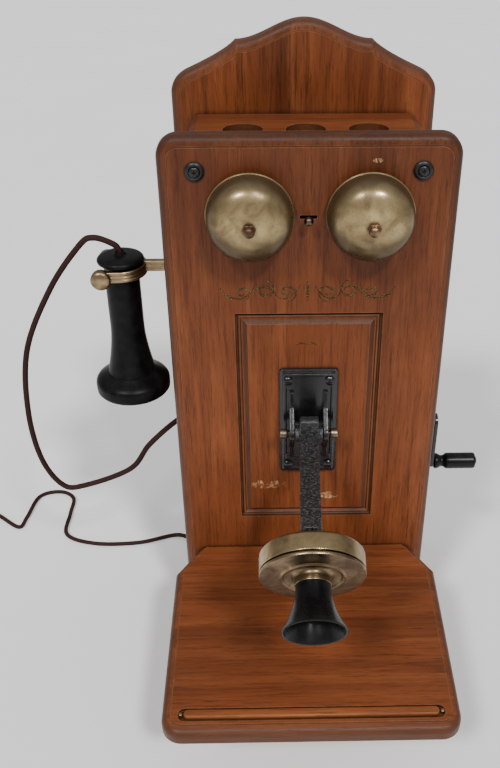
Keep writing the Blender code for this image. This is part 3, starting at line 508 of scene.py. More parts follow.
def rod(axis, centre, radius, start, end, segments=32):
    return turned([(radius, start), (radius, end)], axis, centre, segments)


def softened(profile, radius, steps=3):
    """A profile with each inner corner rounded by about radius."""
    rounded = [profile[0]]
    for before, here, after in zip(profile, profile[1:], profile[2:]):
        here = Vector(here)
        ends = []
        for other in (Vector(before), Vector(after)):
            reach = min(radius, (other - here).length * 0.45)
            ends.append(here + (other - here).normalized() * reach)
        rounded += bend(ends[0], here, ends[1], steps)
    rounded.append(profile[-1])
    return rounded


def both_ends(half, middle):
    """The profile (radius, distance from middle) of a pin with two like ends."""
    low = [(radius, middle - distance) for radius, distance in reversed(half)]
    return low + [(radius, middle + distance) for radius, distance in half if distance]


def moved(shape, offset, turn_x=0):
    """A shape turned about X and then moved, in millimetres."""
    cosine, sine = cos(turn_x), sin(turn_x)
    vertices = []
    for x, y, z in shape[0]:
        turned_y = y * cosine - z * sine
        turned_z = y * sine + z * cosine
        vertices.append((x + offset[0], turned_y + offset[1], turned_z + offset[2]))
    return vertices, shape[1]


# --- Pieces


def mesh_of(name, shapes):
    builder = bmesh.new()
    for vertices, faces in shapes:
        made = [builder.verts.new(Vector(point) * MM) for point in vertices]
        for face in faces:
            builder.faces.new([made[index] for index in face])
    bmesh.ops.recalc_face_normals(builder, faces=builder.faces)
    mesh = bpy.data.meshes.new(name)
    builder.to_mesh(mesh)
    builder.free()
    return mesh


def linked(name, data):
    """A new object in the scene."""
    made = bpy.data.objects.new(name, data)
    bpy.context.scene.collection.objects.link(made)
    return made


def wear(made, look):
    """Gives an object one look alone."""
    made.data.materials.clear()
    made.data.materials.append(look)


def piece(name, shapes, look, node=None, slot=None, body="cabinet", soften=0, cuts=()):
    """A finished piece that rides on a body and may stand for a CAD node."""
    made = linked(name, mesh_of(name, shapes))
    if cuts:
        carve(made, cuts)
    wear(made, look)
    finish_surface(made, soften)
    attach(made, body)
    if node:
        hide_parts(node)
    return made


def wood_piece(node, shapes, look, **extra):
    return piece(f"{node}_wood", shapes, look, node, "cabinet_wood", **extra)


def soft_edges(made, width, segments):
    bevel = made.modifiers.new("soft_edges", "BEVEL")
    bevel.width = width * MM
    bevel.segments = segments
    return bevel


def finish_surface(made, soften):
    """Rounds sharp edges by soften millimetres and shades the rest smoothly."""
    made.data.shade_smooth()
    if soften:
        bevel = soft_edges(made, soften, 3)
        bevel.limit_method = "ANGLE"
        bevel.angle_limit = SMOOTH_ANGLE
    else:
        made.data.set_sharp_from_angle(angle=SMOOTH_ANGLE)
    made.modifiers.new("even_shading", "WEIGHTED_NORMAL").keep_sharp = True


def carve(made, shapes):
    """Cuts shapes, which don't touch each other, out of a piece."""
    tool = linked("carving_tool", mesh_of("carving_tool", shapes))
    modifier = made.modifiers.new("carve", "BOOLEAN")
    modifier.operation = "DIFFERENCE"
    modifier.object = tool
    graph = bpy.context.evaluated_depsgraph_get()
    carved = bpy.data.meshes.new_from_object(made.evaluated_get(graph))
    made.modifiers.clear()
    made.data = carved
    bpy.data.objects.remove(tool, do_unlink=True)


def bore(node, radius, y_range):
    """A cutter along Y through the middle of a CAD node."""
    return rod("Y", centre_mm(node, "Y"), radius, *y_range)


# --- Cabinet


def routed_edge(rear, front):
    """Board edge as (inset, y): a quarter round with a small step at the face."""
    steps = [(0, rear), (0, front + 9.4)]
    for forward, outward in arc((0, 0), 7, 84, 0, 10):
        steps.append((7 - outward, front + 9 - forward))
    return steps + counted(front, [(7.6, 1.8), (8, 1.2), (8.4, 0)])


def crest_outline(low, high):
    half = high.x
    corner_x, corner_drop = CREST_CORNER
    crown = []
    for step in range(25):
        x = corner_x * step / 24
        drop = corner_drop * (1 - cos(pi * x / corner_x)) / 2
        crown.append((x, high.z - drop))
    cove = bend(CREST_CORNER, (68, 27), SHOULDER_START, 10)
    shoulder = bend(SHOULDER_START, (half, 49), (half, 62), 10)
    side = [(x, high.z - drop) for x, drop in cove[1:] + shoulder[1:]]
    right = (crown + side)[::-1]
    left = [(-x, z) for x, z in reversed(right[:-1])]
    return [(-half, low.z), (half, low.z)] + right + left


def back_board(look):
    low, high = box_mm("back_board")
    shape = stepped(crest_outline(low, high), routed_edge(high.y, low.y), "Y")
    holes = [rod("Y", (0, z), 3, low.y - 5, high.y + 5) for z in HANGING_HOLES_Z]
    wood_piece("back_board", [shape], look, cuts=holes)


def panel_frame(face):
    """Mitred moulding cut: a groove, a raised bead and a second groove."""
    section = [(0, -3), (0, 0.6), (0.3, 2.8), (1, 3.4), (1.8, 3.2), (2.4, 2.3)]
    section += [(3.2, 1.8), (4.2, 1.9), (4.9, 2.6), (5.4, 3.3), (6.1, 3.2), (7.2, 2.6)]
    section += [(8.6, 1.7), (9.8, 0.8), (10.6, 0), (10.6, -3)]
    rings = []
    for distance, y in counted(face, section):
        ranges = [around(PANEL_MIDDLE[i], PANEL_HALF[i] - distance) for i in (0, 1)]
        rings.append(at_height(rectangle(*ranges), "Y", y))
    return loft(rings, closed=True)


def front_board(look):
    low, high = box_mm("front_board")
    outline = rounded_rectangle((low.x, high.x), (low.z, high.z), 18, 14)
    half_x, half_z = BELL_SLOT
    bell_z = middle_mm("clapper").z
    slot = rounded_rectangle(around(0, half_x), around(bell_z, half_z), 1.5, 5)
    through = (low.y - 5, high.y + 5)
    cuts = [panel_frame(low.y), prism(slot, "Y", *through)]
    cuts += [bore(f"board_screw_{side}", 2.6, through) for side in SIDES]
    cuts += [bore(f"gong_post_{side}", 2.9, through) for side in SIDES]
    cuts += [bore(f"bracket_screw_{place}", 2.2, through) for place in BRACKET_CORNERS]
    shape = stepped(outline, routed_edge(high.y, low.y), "Y")
    wood_piece("front_board", [shape], look, cuts=cuts)


def box_boards(look, top_look):
    for side in SIDES:
        board = frame["nodes"][f"{side}_side"]
        wear(board, look)
        soft_edges(board, 0.6, 2)
    low, high = box_mm("top_board")
    outline = rounded_rectangle((low.x, high.x), (low.y, high.y), 9, 8)
    steps = [(0, low.z), (0, high.z - 6)]
    steps += [(5 - a, high.z - 6 + b) for a, b in arc((0, 0), 5, 6, 84, 7)]
    steps.append((6, high.z))
    cuts = []
    for index in (-1, 0, 1):
        place = (index * VENT_PITCH, high.y - VENT_FROM_REAR)
        cuts.append(rod("Z", place, VENT_RADIUS, low.z - 5, high.z + 5, 64))
    cuts += [bore(f"board_screw_{side}", 2.6, (low.y - 5, low.y + 20)) for side in SIDES]
    wood_piece("top_board", [stepped(outline, steps, "Z")], top_look, cuts=cuts, soften=0.5)


def shelf_outline(half, length, distance):
    """Shelf outline with its rear edge kept in line at every inset."""
    rear = SHELF_REAR_HALF - distance
    half = half - distance
    radius = SHELF_CORNER - distance
    corner_y = -length + distance + radius
    left_corner = arc((-half + radius, corner_y), radius, 180, 270, 14)
    right_corner = arc((half - radius, corner_y), radius, 270, 360, 14)
    outline = [(-rear, 0), (-half, -SHELF_CHAMFER)] + left_corner
    return outline + right_corner + [(half, -SHELF_CHAMFER), (rear, 0)]


def writing_shelf(look, lath_look, pin_look):
    low, high = box_mm("writing_shelf")
    hinge_y = high.y - SHELF_THICK * sin(SHELF_SLOPE)
    length = (hinge_y - low.y) / cos(SHELF_SLOPE)
    hinge = Vector((0, hinge_y, high.z))
    edge = [(0, -SHELF_THICK), (0, -9.4)]
    for outward, upward in arc((0, 0), 6.8, 5, 86, 10):
        edge.append((6.8 - outward, -9 + upward * 1.07))
    edge += [(7.3, -1.6), (7.7, -1.1), (8, 0)]
    rings = [at_height(shelf_outline(high.x, length, inward), "Z", z) for inward, z in edge]
    lath_half = box_mm("pencil_lath")[1].x
    groove = rounded_rectangle(around(0, lath_half + 5), around(LATH_Y, 6), 5.9, 8)
    cut = moved(prism(groove, "Z", -3, 3), hinge, SHELF_SLOPE)
    wood_piece("writing_shelf", [moved(loft(rings), hinge, SHELF_SLOPE)], look, cuts=[cut])
    lath = rounded_rectangle(around(0, lath_half), around(LATH_Y, 4), 3.9, 8)
    steps = [(0, -2.7), (0, 1.2), (0.3, 2), (0.9, 2.6), (1.8, 2.8)]
    bar = moved(stepped(lath, steps, "Z"), hinge, SHELF_SLOPE)
    wood_piece("pencil_lath", [bar], lath_look)
    profile = [(0, -2.9), (1.1, -2.9), (1.1, 0.4), (1.9, 0.8), (1.6, 1.7), (0, 2.1)]
    pins = []
    for side in (-1, 1):
        pin = turned(softened(profile, 0.3), "Z", (side * (lath_half + 2.4), LATH_Y), 20)
        pins.append(moved(pin, hinge, SHELF_SLOPE))
    piece("lath_pins", pins, pin_look, slot="bell_brass")


def shelf_braces(look):
    for node in ("shelf_brace_left", "shelf_brace_right"):
        low, high = box_mm(node)
        rear = high.y
        front_top = high.z - (rear - low.y) * tan(SHELF_SLOPE)
        lobe = (rear - 26, 66)
        hollow = bend((low.y, front_top - 12), lobe, (rear - 14, low.z), 20)
        outline = [(rear, high.z), (low.y, front_top)] + hollow + [(rear, low.z)]
        wood_piece(node, [prism(outline, "X", low.x, high.x)], look, soften=1.2)


def cross_recess(centre, face, depth):
    """The two cutters for a cross-head screw, which touch each other."""
    x, z = centre
    shapes = []
    for half_x, half_z in ((2.5, 0.55), (0.55, 2.5)):
        outer = rectangle(around(x, half_x), around(z, half_z))
        inner = [(x + (a - x) * 0.45, z + (b - z) * 0.45) for a, b in outer]
        steps = ((outer, face - 2), (outer, face), (inner, face + depth))
        shapes.append(loft([at_height(ring, "Y", y) for ring, y in steps]))
    return shapes


def board_screws(look):
    washer = [(2.7, 0), (8, 0), (7.9, -0.5), (7.2, -1.5)]
    washer += [(5.9, -2.1), (5.2, -2.2), (4.7, -1.9), (3, -0.6)]
    head = [(2.2, 0.4), (4.3, -1), (4.1, -1.7), (3.2, -2.3), (1.7, -2.7), (0, -2.8)]
    for side in SIDES:
        node = f"board_washer_{side}"
        centre = centre_mm(node, "Y")
        face = box_mm(node)[1].y
        shape = turned(counted(face, washer), "Y", centre, 48, closed=True)
        piece(f"finishing_washer_{side}", [shape], look, node, "black_screws")
        node = f"board_screw_{side}"
        tail = box_mm(node)[1].y
        screw = [(0, tail), (2.2, tail - 3)] + counted(face - 1, head)
        shape = turned(screw, "Y", centre, 32)
        across, upright = cross_recess(centre, face - 1 - 2.8, 1.6)
        name = f"cross_head_screw_{side}"
        made = piece(name, [shape], look, node, "black_screws", cuts=[across])
        carve(made, [upright])
        finish_surface(made, 0)


def scroll(centre, radius, start, turns, direction, steps=36):
    """Points of a spiral scroll that winds in towards its centre."""
    points = []
    for t in fractions(steps):
        angle = radians(start) + direction * 2 * pi * turns * t
        points.append(polar(centre, radius * (1 - 0.86 * t), angle))
    return points


def headings(points):
    """The unit direction of a path at each of its points."""
    last = len(points) - 1
    found = []
    for index in range(last + 1):
        before = Vector(points[max(index - 1, 0)])
        after = Vector(points[min(index + 1, last)])
        found.append((after - before).normalized())
    return found


def stroke(points, face, widest):
    """A flat tapering pen stroke lying just proud of an upright face."""
    rings = []
    last = len(points) - 1
    for index, (here, along) in enumerate(zip(points, headings(points))):
        swell = 0.25 + 0.75 * sin(pi * index / last)
        side = Vector((-along.y, along.x)) * widest * swell / 2
        (ax, az), (bx, bz) = Vector(here) + side, Vector(here) - side
        ring = [(ax, face - 0.05, az), (bx, face - 0.05, bz)]
        rings.append(ring + [(bx, face + 0.05, bz), (ax, face + 0.05, az)])
    return loft(rings)


def gilt_ornament(look):
    """Plain scrollwork where the cabinet carries gilding."""
    face = box_mm("front_board")[0].y - 0.06
    z = ORNAMENT_Z
    shapes = []
    for side in (-1, 1):
        for index, (x, radius) in enumerate(((17, 8.5), (36, 9), (55, 7))):
            turn = 1 if index % 2 else -1
            spiral = scroll((x * side, z + turn * 1.5), radius, 90 * turn, 1.2, turn * side)
            shapes.append(stroke(spiral, face, 2.4))
            start = (side * (x - 11), z - turn * 6)
            link = bend(start, (side * x, z + turn * 14), (side * (x + 11), z - 3), 16)
            shapes.append(stroke(link, face, 1.6))
        tip = bend((side * 60, z - 6), (side * 68, z - 8), (side * 74, z + 4), 14)
        shapes.append(stroke(tip, face, 2))
    for tall, wide in ((9, 3), (5, 1.6)):
        shapes.append(stroke([(0, z - tall), (0, z), (0, z + tall)], face, wide))
    for side in (-1, 1):
        leaf = bend((0, MARK_Z), (side * 4, MARK_Z + 4), (side * 9, MARK_Z), 10)
        shapes.append(stroke(leaf, face, 1.6))
    piece("gilt_scrollwork", shapes, look)


# --- Bells


def bowl(radius, depth, rim, steps=36):
    """A squarish bowl as (radius, y), from near its rim to the hole in its crown."""
    points = []
    for step in range(1, steps):
        angle = radians(90 * (step / steps) ** 2)
        reach = radius * cos(angle) ** GONG_SQUARENESS
        if reach > 3.4:
            points.append((reach, rim - depth * sin(angle) ** GONG_SQUARENESS))
    return points + [(3, rim - depth)]


def gong(side, look):
    node = f"gong_{side}"
    low, high = box_mm(node)
    radius = (high.x - low.x) / 2
    rim = high.y - 0.5
    outer = bowl(radius - 1, rim - low.y, rim)
    inner = bowl(radius - 2.8, rim - low.y - 1.7, rim)
    lip = [(radius - 2.4, rim + 0.1), (radius - 1.6, rim + 0.5), (radius - 0.6, rim + 0.3)]
    lip += [(radius, rim - 0.4), (radius - 0.1, rim - 1.1), (radius - 0.8, rim - 1.8)]
    profile = lip + outer[2:] + inner[::-1][:-1]
    shape = turned(profile, "Y", centre_mm(node, "Y"), 96, closed=True)
    piece(f"bell_{node}", [shape], look, node, "gong_bronze")


def gong_fixings(side, look):
    node = f"gong_post_{side}"
    low, high = box_mm(node)
    centre = centre_mm(node, "Y")
    crown = box_mm(f"gong_{side}")[0].y
    face = box_mm("front_board")[0].y - 0.3
    post = [(0, high.y), (2.5, high.y - 1)]
    post += counted(face, [(2.5, 0), (9, 0), (8.6, -1.2), (6.4, -2.4), (5, -4)])
    post += [(4.4, face - 10), (5, crown + 4), (5, crown + 2), (2.6, crown + 2)]
    post += [(2.6, low.y + 0.4), (0, low.y)]
    shape = turned(softened(post, 0.5), "Y", centre, 40)
    piece(f"bell_post_{side}", [shape], look, node, "bell_brass")
    node = f"gong_nut_{side}"
    low, high = box_mm(node)
    top = high.y
    hexagon = prism(circle(centre, 5.6, 6), "Y", top, top - 3.4)
    cap = counted(top, [(2.9, -2.8), (4.9, -3.3), (4.6, -4.2), (4.4, -5.6)])
    cap += [(4.4 * cos(a), top - 5.6 - 2.7 * sin(a)) for a in (0.4, 0.8, 1.2)]
    cap = turned(cap + [(0, low.y)], "Y", centre, 32)
    piece(f"bell_nut_{side}", [hexagon, cap], look, node, "bell_brass", soften=0.25)


def clapper(look):
    low, high = box_mm("clapper")
    pivot_y = high.y - 5
    z = middle_mm("clapper").z
    ball_y = low.y + BALL_RADIUS
    profile = [(0, pivot_y - 3), (1.1, pivot_y - 3), (1.1, ball_y + 3.6)]
    for step in range(15):
        angle = -1.25 + 2.75 * step / 14
        profile.append((BALL_RADIUS * cos(angle), ball_y - BALL_RADIUS * sin(angle)))
    hammer = turned(profile + [(0, low.y)], "Y", (0, z), 32)
    hub = rod("Z", (0, pivot_y), 3.6, z - 9, z + 9, 28)
    bar = block((low.x, high.x), (pivot_y + 2, pivot_y + 5), around(z, 6))
    shapes = [hammer, hub, bar]
    piece("clapper_hammer", shapes, look, "clapper", "bell_brass", "clapper_rocker", 0.3)


# --- Transmitter


def bracket(look, pin_look):
    low, high = box_mm("bracket_plate")
    face = high.y
    edge = [(0, 0), (0, -2.2), (0.6, -2.9), (2.2, -3.1), (2.8, -3.6), (3.2, -5)]
    edge += [(3.7, -5.4), (5.6, -5.4), (6.2, -4.9), (6.8, -4.6)]
    rings = []
    for distance, y in counted(face, edge):
        ranges = (narrowed((low.x, high.x), distance), narrowed((low.z, high.z), distance))
        rings.append(at_height(rounded_rectangle(*ranges, max(3 - distance, 0.8), 6), "Y", y))
    holes = [bore(f"bracket_screw_{place}", 2.2, (face + 5, face - 9)) for place in BRACKET_CORNERS]
    extra = {"cuts": holes, "soften": 0.3}
    piece("bracket_casting", [loft(rings)], look, "bracket_plate", "black_iron", **extra)
    pin = middle_mm("arm_pivot_pin")
    rib = rib_outline(face - 3, pin)
    ribs = [prism(rib, "X", x, x + 4.5) for x in (pin.x - 17.5, pin.x + 13)]
    piece("bracket_ears", ribs, look, slot="black_iron", soften=0.8)
    bracket_screws(look)
    half = [(3, 0), (3, 18.2), (3.4, 19.2), (4.4, 20.4), (4.6, 22.4), (4.6, 24.6)]
    half += [(4.2, 25.8), (2.8, 26.7), (0, 27)]
    shape = turned(both_ends(half, pin.x), "X", (pin.y, pin.z), 32)
    piece("arm_pin", [shape], pin_look, "arm_pivot_pin", "frame_steel")


def rib_outline(root, pin):
    """Side shape of one bracket ear, with a lobe round the arm's pivot."""
    z = pin.z
    lobe = arc((pin.y, z), 8.5, 240, 120, 18)
    low = [(root, z - 37), (root - 4.6, z - 36), (root - 6.4, z - 30)]
    low.append((root - 7, z - 22))
    high = [(root - 7, z + 22), (root - 6.4, z + 30), (root - 4.6, z + 36)]
    return low + lobe + high + [(root, z + 37)]


def bracket_screws(look):
    for place in BRACKET_CORNERS:
        node = f"bracket_screw_{place}"
        low, high = box_mm(node)
        x, z = centre_mm(node, "Y")
        head = [(1.8, 0), (4.4, 0), (4.3, -0.8), (3.5, -1.7), (1.9, -2.4)]
        screw = [(0, high.y), (1.8, high.y - 3)] + counted(low.y + 2.6, head)
        shape = turned(screw + [(0, low.y)], "Y", (x, z), 32)
        slot = block(around(x, 5), (low.y - 1, low.y + 1.3), around(z, 0.55))
        piece(f"slotted_screw_{place}", [shape], look, node, "black_iron", cuts=[slot])


def arm(look, bolt_look):
    pin = middle_mm("arm_pivot_pin")
    tilt = middle_mm("tilt_bolt")
    pivot, end = (pin.y, pin.z), (tilt.y, tilt.z)
    side = arc(pivot, 8, 46, -46, 14)
    side += [(pin.y - 16, pin.z - 5.5), (tilt.y + 12, tilt.z - 5.5)]
    side += arc(end, 6.4, -100, -260, 16)
    side += [(tilt.y + 12, tilt.z + 5.5), (pin.y - 16, pin.z + 5.5)]
    lean = (tilt.x - pin.x) / (tilt.y - pin.y)
    points, faces = prism(side, "X", *around(pin.x, 8.5))
    bar = ([(x + lean * (y - pin.y), y, z) for x, y, z in points], faces)
    lug = block(around(tilt.x, 4), (tilt.y - 12, tilt.y + 9), around(tilt.z, 15))
    extra = {"cuts": [lug, rod("X", pivot, 3.4, -20, 20)], "soften": 1.1}
    piece("transmitter_arm_casting", [bar], look, "transmitter_arm", "black_iron", "arm", **extra)
    hub = counted(pin.x, [(3.4, -12.6), (7.6, -12.6), (7.6, 12.6), (3.4, 12.6)])
    leg = [(-9, 4.6), (2, 4.6), (2, 16), (0.6, 18.4), (-3.5, 19), (-7.6, 18.4)]
    leg = [(pin.y + forward, pin.z + up) for forward, up in leg + [(-9, 16)]]
    shapes = [turned(hub, "X", pivot, 48, closed=True), prism(leg, "X", *around(pin.x, 8.4))]
    piece("arm_hub", shapes, look, slot="black_iron", body="arm", soften=0.7)
    half = [(2.1, 0), (2.1, 8.8), (4.4, 8.8), (4.6, 9.4), (4.6, 11), (4.1, 12)]
    half += [(2.6, 12.5), (0, 12.6)]
    bolt = turned(both_ends(half, tilt.x), "X", end, 32)
    piece("tilt_bolt_knurled", [bolt], bolt_look, "tilt_bolt", "head_brass", "arm")


def head_piece(name, shapes, look, node, slot, soften=0):
    """A piece of the head, drawn facing -Y about the tilt axis and put in place."""
    placed = [moved(shape, middle_mm("tilt_bolt"), HEAD_TILT) for shape in shapes]
    piece(name, placed, look, node, slot, "transmitter_head", soften)


def transmitter_head(brass, face_look, gloss):
    radius, back, front = HEAD_RADIUS, -11, -27
    cup = [(0, back), (radius - 3.4, back), (radius - 1.4, back - 0.6)]
    cup += [(radius - 0.3, back - 2), (radius, back - 3.4), (radius, front + 0.4)]
    cup += [(radius - 0.4, front), (radius - 2, front), (radius - 2, back - 2.2)]
    cup.append((0, back - 2))
    lug = arc((0, 0), 6, -90, 90, 16) + [(back - 1, 8), (back - 1, -8)]
    flange = counted(back, [(0, 1.4), (13, 1.4), (14, 0.6), (14.4, -0.4), (0, -0.4)])
    shapes = [turned(cup, "Y"), turned(flange, "Y"), prism(lug, "X", -3.5, 3.5)]
    head_piece("cup_spun_brass", shapes, brass, "transmitter_cup", "head_brass", 0.3)
    plate = turned(faceplate_profile(), "Y", segments=96, closed=True)
    head_piece("faceplate_brass", [plate], face_look, "transmitter_faceplate", "head_brass")
    horn = turned(mouthpiece_profile(), "Y", closed=True)
    head_piece("mouthpiece_horn", [horn], gloss, "mouthpiece", "gloss_black")


def faceplate_profile():
    """Rim, flat face, raised bead, dished middle, collar and the seat behind."""
    radius, face, collar, bore_radius = HEAD_RADIUS, -31, -38, 9.2
    profile = [(38.4, 4.6), (38.4, 2.9), (radius - 0.5, 2.8), (radius, 2.3), (radius, 1.1)]
    profile += [(radius - 0.4, 0.4), (radius - 1.3, 0), (34, -0.1), (27.2, 0)]
    profile += [(25.6, -0.1), (25, -0.9), (24.2, -1.4), (23.3, -1.1), (22.6, -0.1)]
    profile += [(21.9, 0.7), (20, 1.1), (17.4, 1.2), (16, 0.9), (14.9, -0.2)]
    profile = counted(face, profile + [(14.3, -1.6), (14.1, -3.2)])
    profile += [(14.1, collar + 0.5), (13.8, collar), (bore_radius, collar)]
    return profile + counted(face, [(bore_radius, 3), (35, 3.1), (36.2, 4.6)])


def mouthpiece_profile():
    """Horn flared by a power law, with a rolled lip and its threaded stub."""
    front, length = -38.3, 35.4
    outside = [(13.4 + 11.4 * t**1.9, front - length * t) for t in fractions(24)]
    inside = [(radius - 2.1, y) for radius, y in outside[3:]]
    stub = counted(front, [(6.4, 9), (8.8, 9), (8.8, 0.4), (12.2, 0.4)])
    lip_radius, lip_y = outside[-1]
    rim = [(lip_radius + 0.1, lip_y - 0.6), (lip_radius - 0.6, lip_y - 1.2)]
    rim.append((lip_radius - 1.5, lip_y - 0.9))
    return stub + outside + rim + inside[::-1] + [(8, front - 3), (6.4, front - 1)]


# --- Receiver


def shell_radius(height, top):
    """Outer radius of the receiver: straight neck, then a smooth flare."""
    flare = min(max((top - 60.2 - height) / 47, 0), 1)
    return 15.5 + 6.7 * flare**1.7


def receiver_piece(name, node, profile, look, segments=72):
    shape = turned(profile, "Z", centre_mm("receiver_shell", "Z"), segments, closed=True)
    piece(name, [shape], look, node, "receiver_black", "receiver")


def receiver(look):
    low, high = box_mm("receiver_shell")
    top = high.z
    heights = [top - (top - low.z) * step / 30 for step in range(31)]
    outside = [(shell_radius(h, top), h) for h in heights]
    inside = [(radius - 3, h) for radius, h in outside]
    receiver_piece("receiver_tube", "receiver_shell", outside + inside[::-1], look)
    seat = box_mm("receiver_cap")[0].z + 7
    cap = [(3.7, -7), (11.8, -7), (11.8, 0), (16.4, 0), (17.3, 1.4), (17.5, 2.8)]
    cap += [(19.6, 3.4), (20.6, 4.2), (21, 5.6), (20.7, 6.8), (19.6, 8), (17.4, 9.1)]
    cap += [(13, 10), (8.6, 10.3), (6.6, 10.5), (5.6, 11.2), (5.1, 12.6), (4.5, 13)]
    cap.append((3.8, 12.8))
    receiver_piece("receiver_end_cap", "receiver_cap", counted(seat, cap), look)
    base = box_mm("ear_cap")[0].z
    ear = [(6, 4), (9, 4.2), (15, 4), (22, 2.4), (28, 0.6), (31.5, 0)]
    ear += [(33.6, 0.6), (34.8, 2.2), (35, 4.4), (35, 9.6), (34.6, 11.8), (33.2, 14)]
    ear += [(30.6, 16), (27.2, 18), (24.2, 20), (22.6, 21.2), (18, 21.2)]
    ear += [(18, 16), (30, 13), (30, 7), (6, 7)]
    receiver_piece("receiver_ear_cap", "ear_cap", counted(base, ear), look, 96)


# --- Cords


def smooth_path(points):
    """Points every CORD_STEP millimetres along a Catmull-Rom curve."""
    points = [Vector(point) for point in points]
    padded = [2 * points[0] - points[1]] + points + [2 * points[-1] - points[-2]]
    dense = []
    for span in zip(padded, padded[1:], padded[2:], padded[3:]):
        dense += [catmull(*span, t) for t in fractions(24)[:-1]]
    return evenly(dense + [points[-1]], CORD_STEP)


def catmull(a, b, c, d, t):
    square = (2 * a - 5 * b + 4 * c - d) * t * t
    return 0.5 * (2 * b + (c - a) * t + square + (3 * b - a - 3 * c + d) * t * t * t)


def evenly(points, spacing):
    even = [points[0]]
    carried = 0
    for start, end in zip(points, points[1:]):
        length = (end - start).length
        while carried + length >= spacing:
            start = start.lerp(end, (spacing - carried) / length)
            even.append(start)
            length = (end - start).length
            carried = 0
        carried += length
    return even


def braided(path, radius, strands=6, pitch=13, sides=24):
    """A cord of crossing strands: the skin rises over each strand of the braid."""
    points = smooth_path(path)
    up = Vector((0, 1, 0.2)).normalized()
    rings = []
    for index, (here, along) in enumerate(zip(points, headings(points))):
        across = along.cross(up).normalized()
        up = across.cross(along).normalized()
        twist = 2 * pi * (index * CORD_STEP) / pitch
        ring = []
        for side in range(sides):
            angle = 2 * pi * side / sides
            left = cos(strands * (angle + twist))
            right = cos(strands * (angle - twist))
            reach = radius * (0.93 + 0.07 * max(left, right))
            offset = across * cos(angle) + up * sin(angle)
            ring.append(tuple(here + offset * reach))
        rings.append(ring)
    return loft(rings)


def cords(look):
    x, y = centre_mm("receiver_shell", "Z")
    top = box_mm("receiver_cap")[1].z - 4
    hang = [(0, top), (-0.3, top + 5), (-5.3, 426.6), (-21.7, 432.4), (-35, 425)]
    hang += [(-66.6, 382.5), (-96.9, 319.3), (-106.5, 250.2), (-102, 192)]
    hang += [(-85, 157.4), (-62.5, 156), (-13.5, 176.8), (9.1, 207.7), (38.4, 236.6)]
    hang += [(60.5, 249.2), (80.5, 250)]
    path = [(x + along, y, height) for along, height in hang]
    cord = linked("receiver_cord_braid", mesh_of("braid", [braided(path, RECEIVER_CORD_RADIUS)]))
    cord.data.materials.append(look)
    cord.data.shade_smooth()
    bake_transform(cord)
    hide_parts("receiver_cord")
    ground = 2.6
    wall = box_mm("back_board")[1].y
    inner = wall - 32
    path = [(-84, inner, 22), (-101, inner, 22), (-127, wall - 13, 9)]
    table = [(-150, 3), (-194.2, -9.8), (-246.4, -10.3), (-283.3, 6.2), (-286.5, 45)]
    table += [(-288, 75), (-307.1, 88.4), (-332, 79), (-339.5, 39.3)]
    table += [(-345.5, 21), (-373.9, 42), (-402, 62)]
    path += [(across, wall + along, ground) for across, along in table]
    shape = braided(path, LINE_CORD_RADIUS)
    piece("line_cord_braid", [shape], look, "line_cord", "cord_braid")


# --- Hook


def ribbed_section(height, thick):
    """Bar section with a rib along its top and bottom, as (sideways, up)."""
    half_z, half_t = height / 2, thick / 2
    groove = half_t - 0.9
    side = [(half_t - 0.5, half_z), (half_t, half_z - 0.6), (half_t, half_z - 2.6)]
    side += [(groove, half_z - 3.3), (groove, 0.4), (half_t - 0.2, 0.1), (half_t - 0.2, -0.6)]
    side += [(groove, -0.9), (groove, -half_z + 2.8), (half_t, -half_z + 2.2)]
    side += [(half_t, -half_z + 0.6), (half_t - 0.5, -half_z)]
    return side + [(-a, b) for a, b in reversed(side)]


def swept_flat(section, path, height):
    """Sweeps a section along a path that stays at one height."""
    rings = []
    for here, along in zip(path, headings(path)):
        across = Vector((-along.y, along.x))
        ring = []
        for sideways, up in section:
            place = Vector(here) + across * sideways
            ring.append((place.x, place.y, height + up))
        rings.append(ring)
    return loft(rings)


def hook(look):
    low, high = box_mm("hook_lever")
    pivot = Vector((high.x - 26, (low.y + high.y) / 2, HOOK_PIVOT_Z))
    x, y = centre_mm("receiver_shell", "Z")
    bar_path = [(pivot.x, pivot.y), (x + FORK_RADIUS + 1, pivot.y)]
    bar = swept_flat(ribbed_section(10, 6), bar_path, HOOK_PIVOT_Z + 2)
    path = [(x - 12, y + FORK_RADIUS), (x - 5, y + FORK_RADIUS)]
    path += arc((x, y), FORK_RADIUS, 90, -90, 36)
    path += [(x - 5, y - FORK_RADIUS), (x - 12, y - FORK_RADIUS)]
    fork = swept_flat(ribbed_section(10, 5), path, HOOK_PIVOT_Z)
    bosses = []
    for side in (-1, 1):
        near = y + side * (FORK_RADIUS - 2.5)
        far = y + side * (FORK_RADIUS + 6.5)
        boss = [(0, near), (7.6, near), (8.8, near + side * 0.8), (9, near + side * 2)]
        boss += [(9, far - side * 3.2), (8.4, far - side * 1.6), (7, far - side * 0.5)]
        boss += [(4, far + side * 0.3), (0, far + side * 0.6)]
        bosses.append(turned(boss, "Y", (x - 15, HOOK_PIVOT_Z - 2), 56))
    ring = [(2.3, -5), (6, -5), (6, 5), (2.3, 5)]
    hub = moved(turned(ring, "Y", segments=40, closed=True), pivot)
    tail = block((pivot.x + 4, high.x), around(pivot.y, 3), around(pivot.z, 3))
    shapes = [bar, fork, hub, tail] + bosses
    piece("hook_lever_casting", shapes, look, "hook_lever", "hook_brass", "hook", 0.25)


# --- Crank


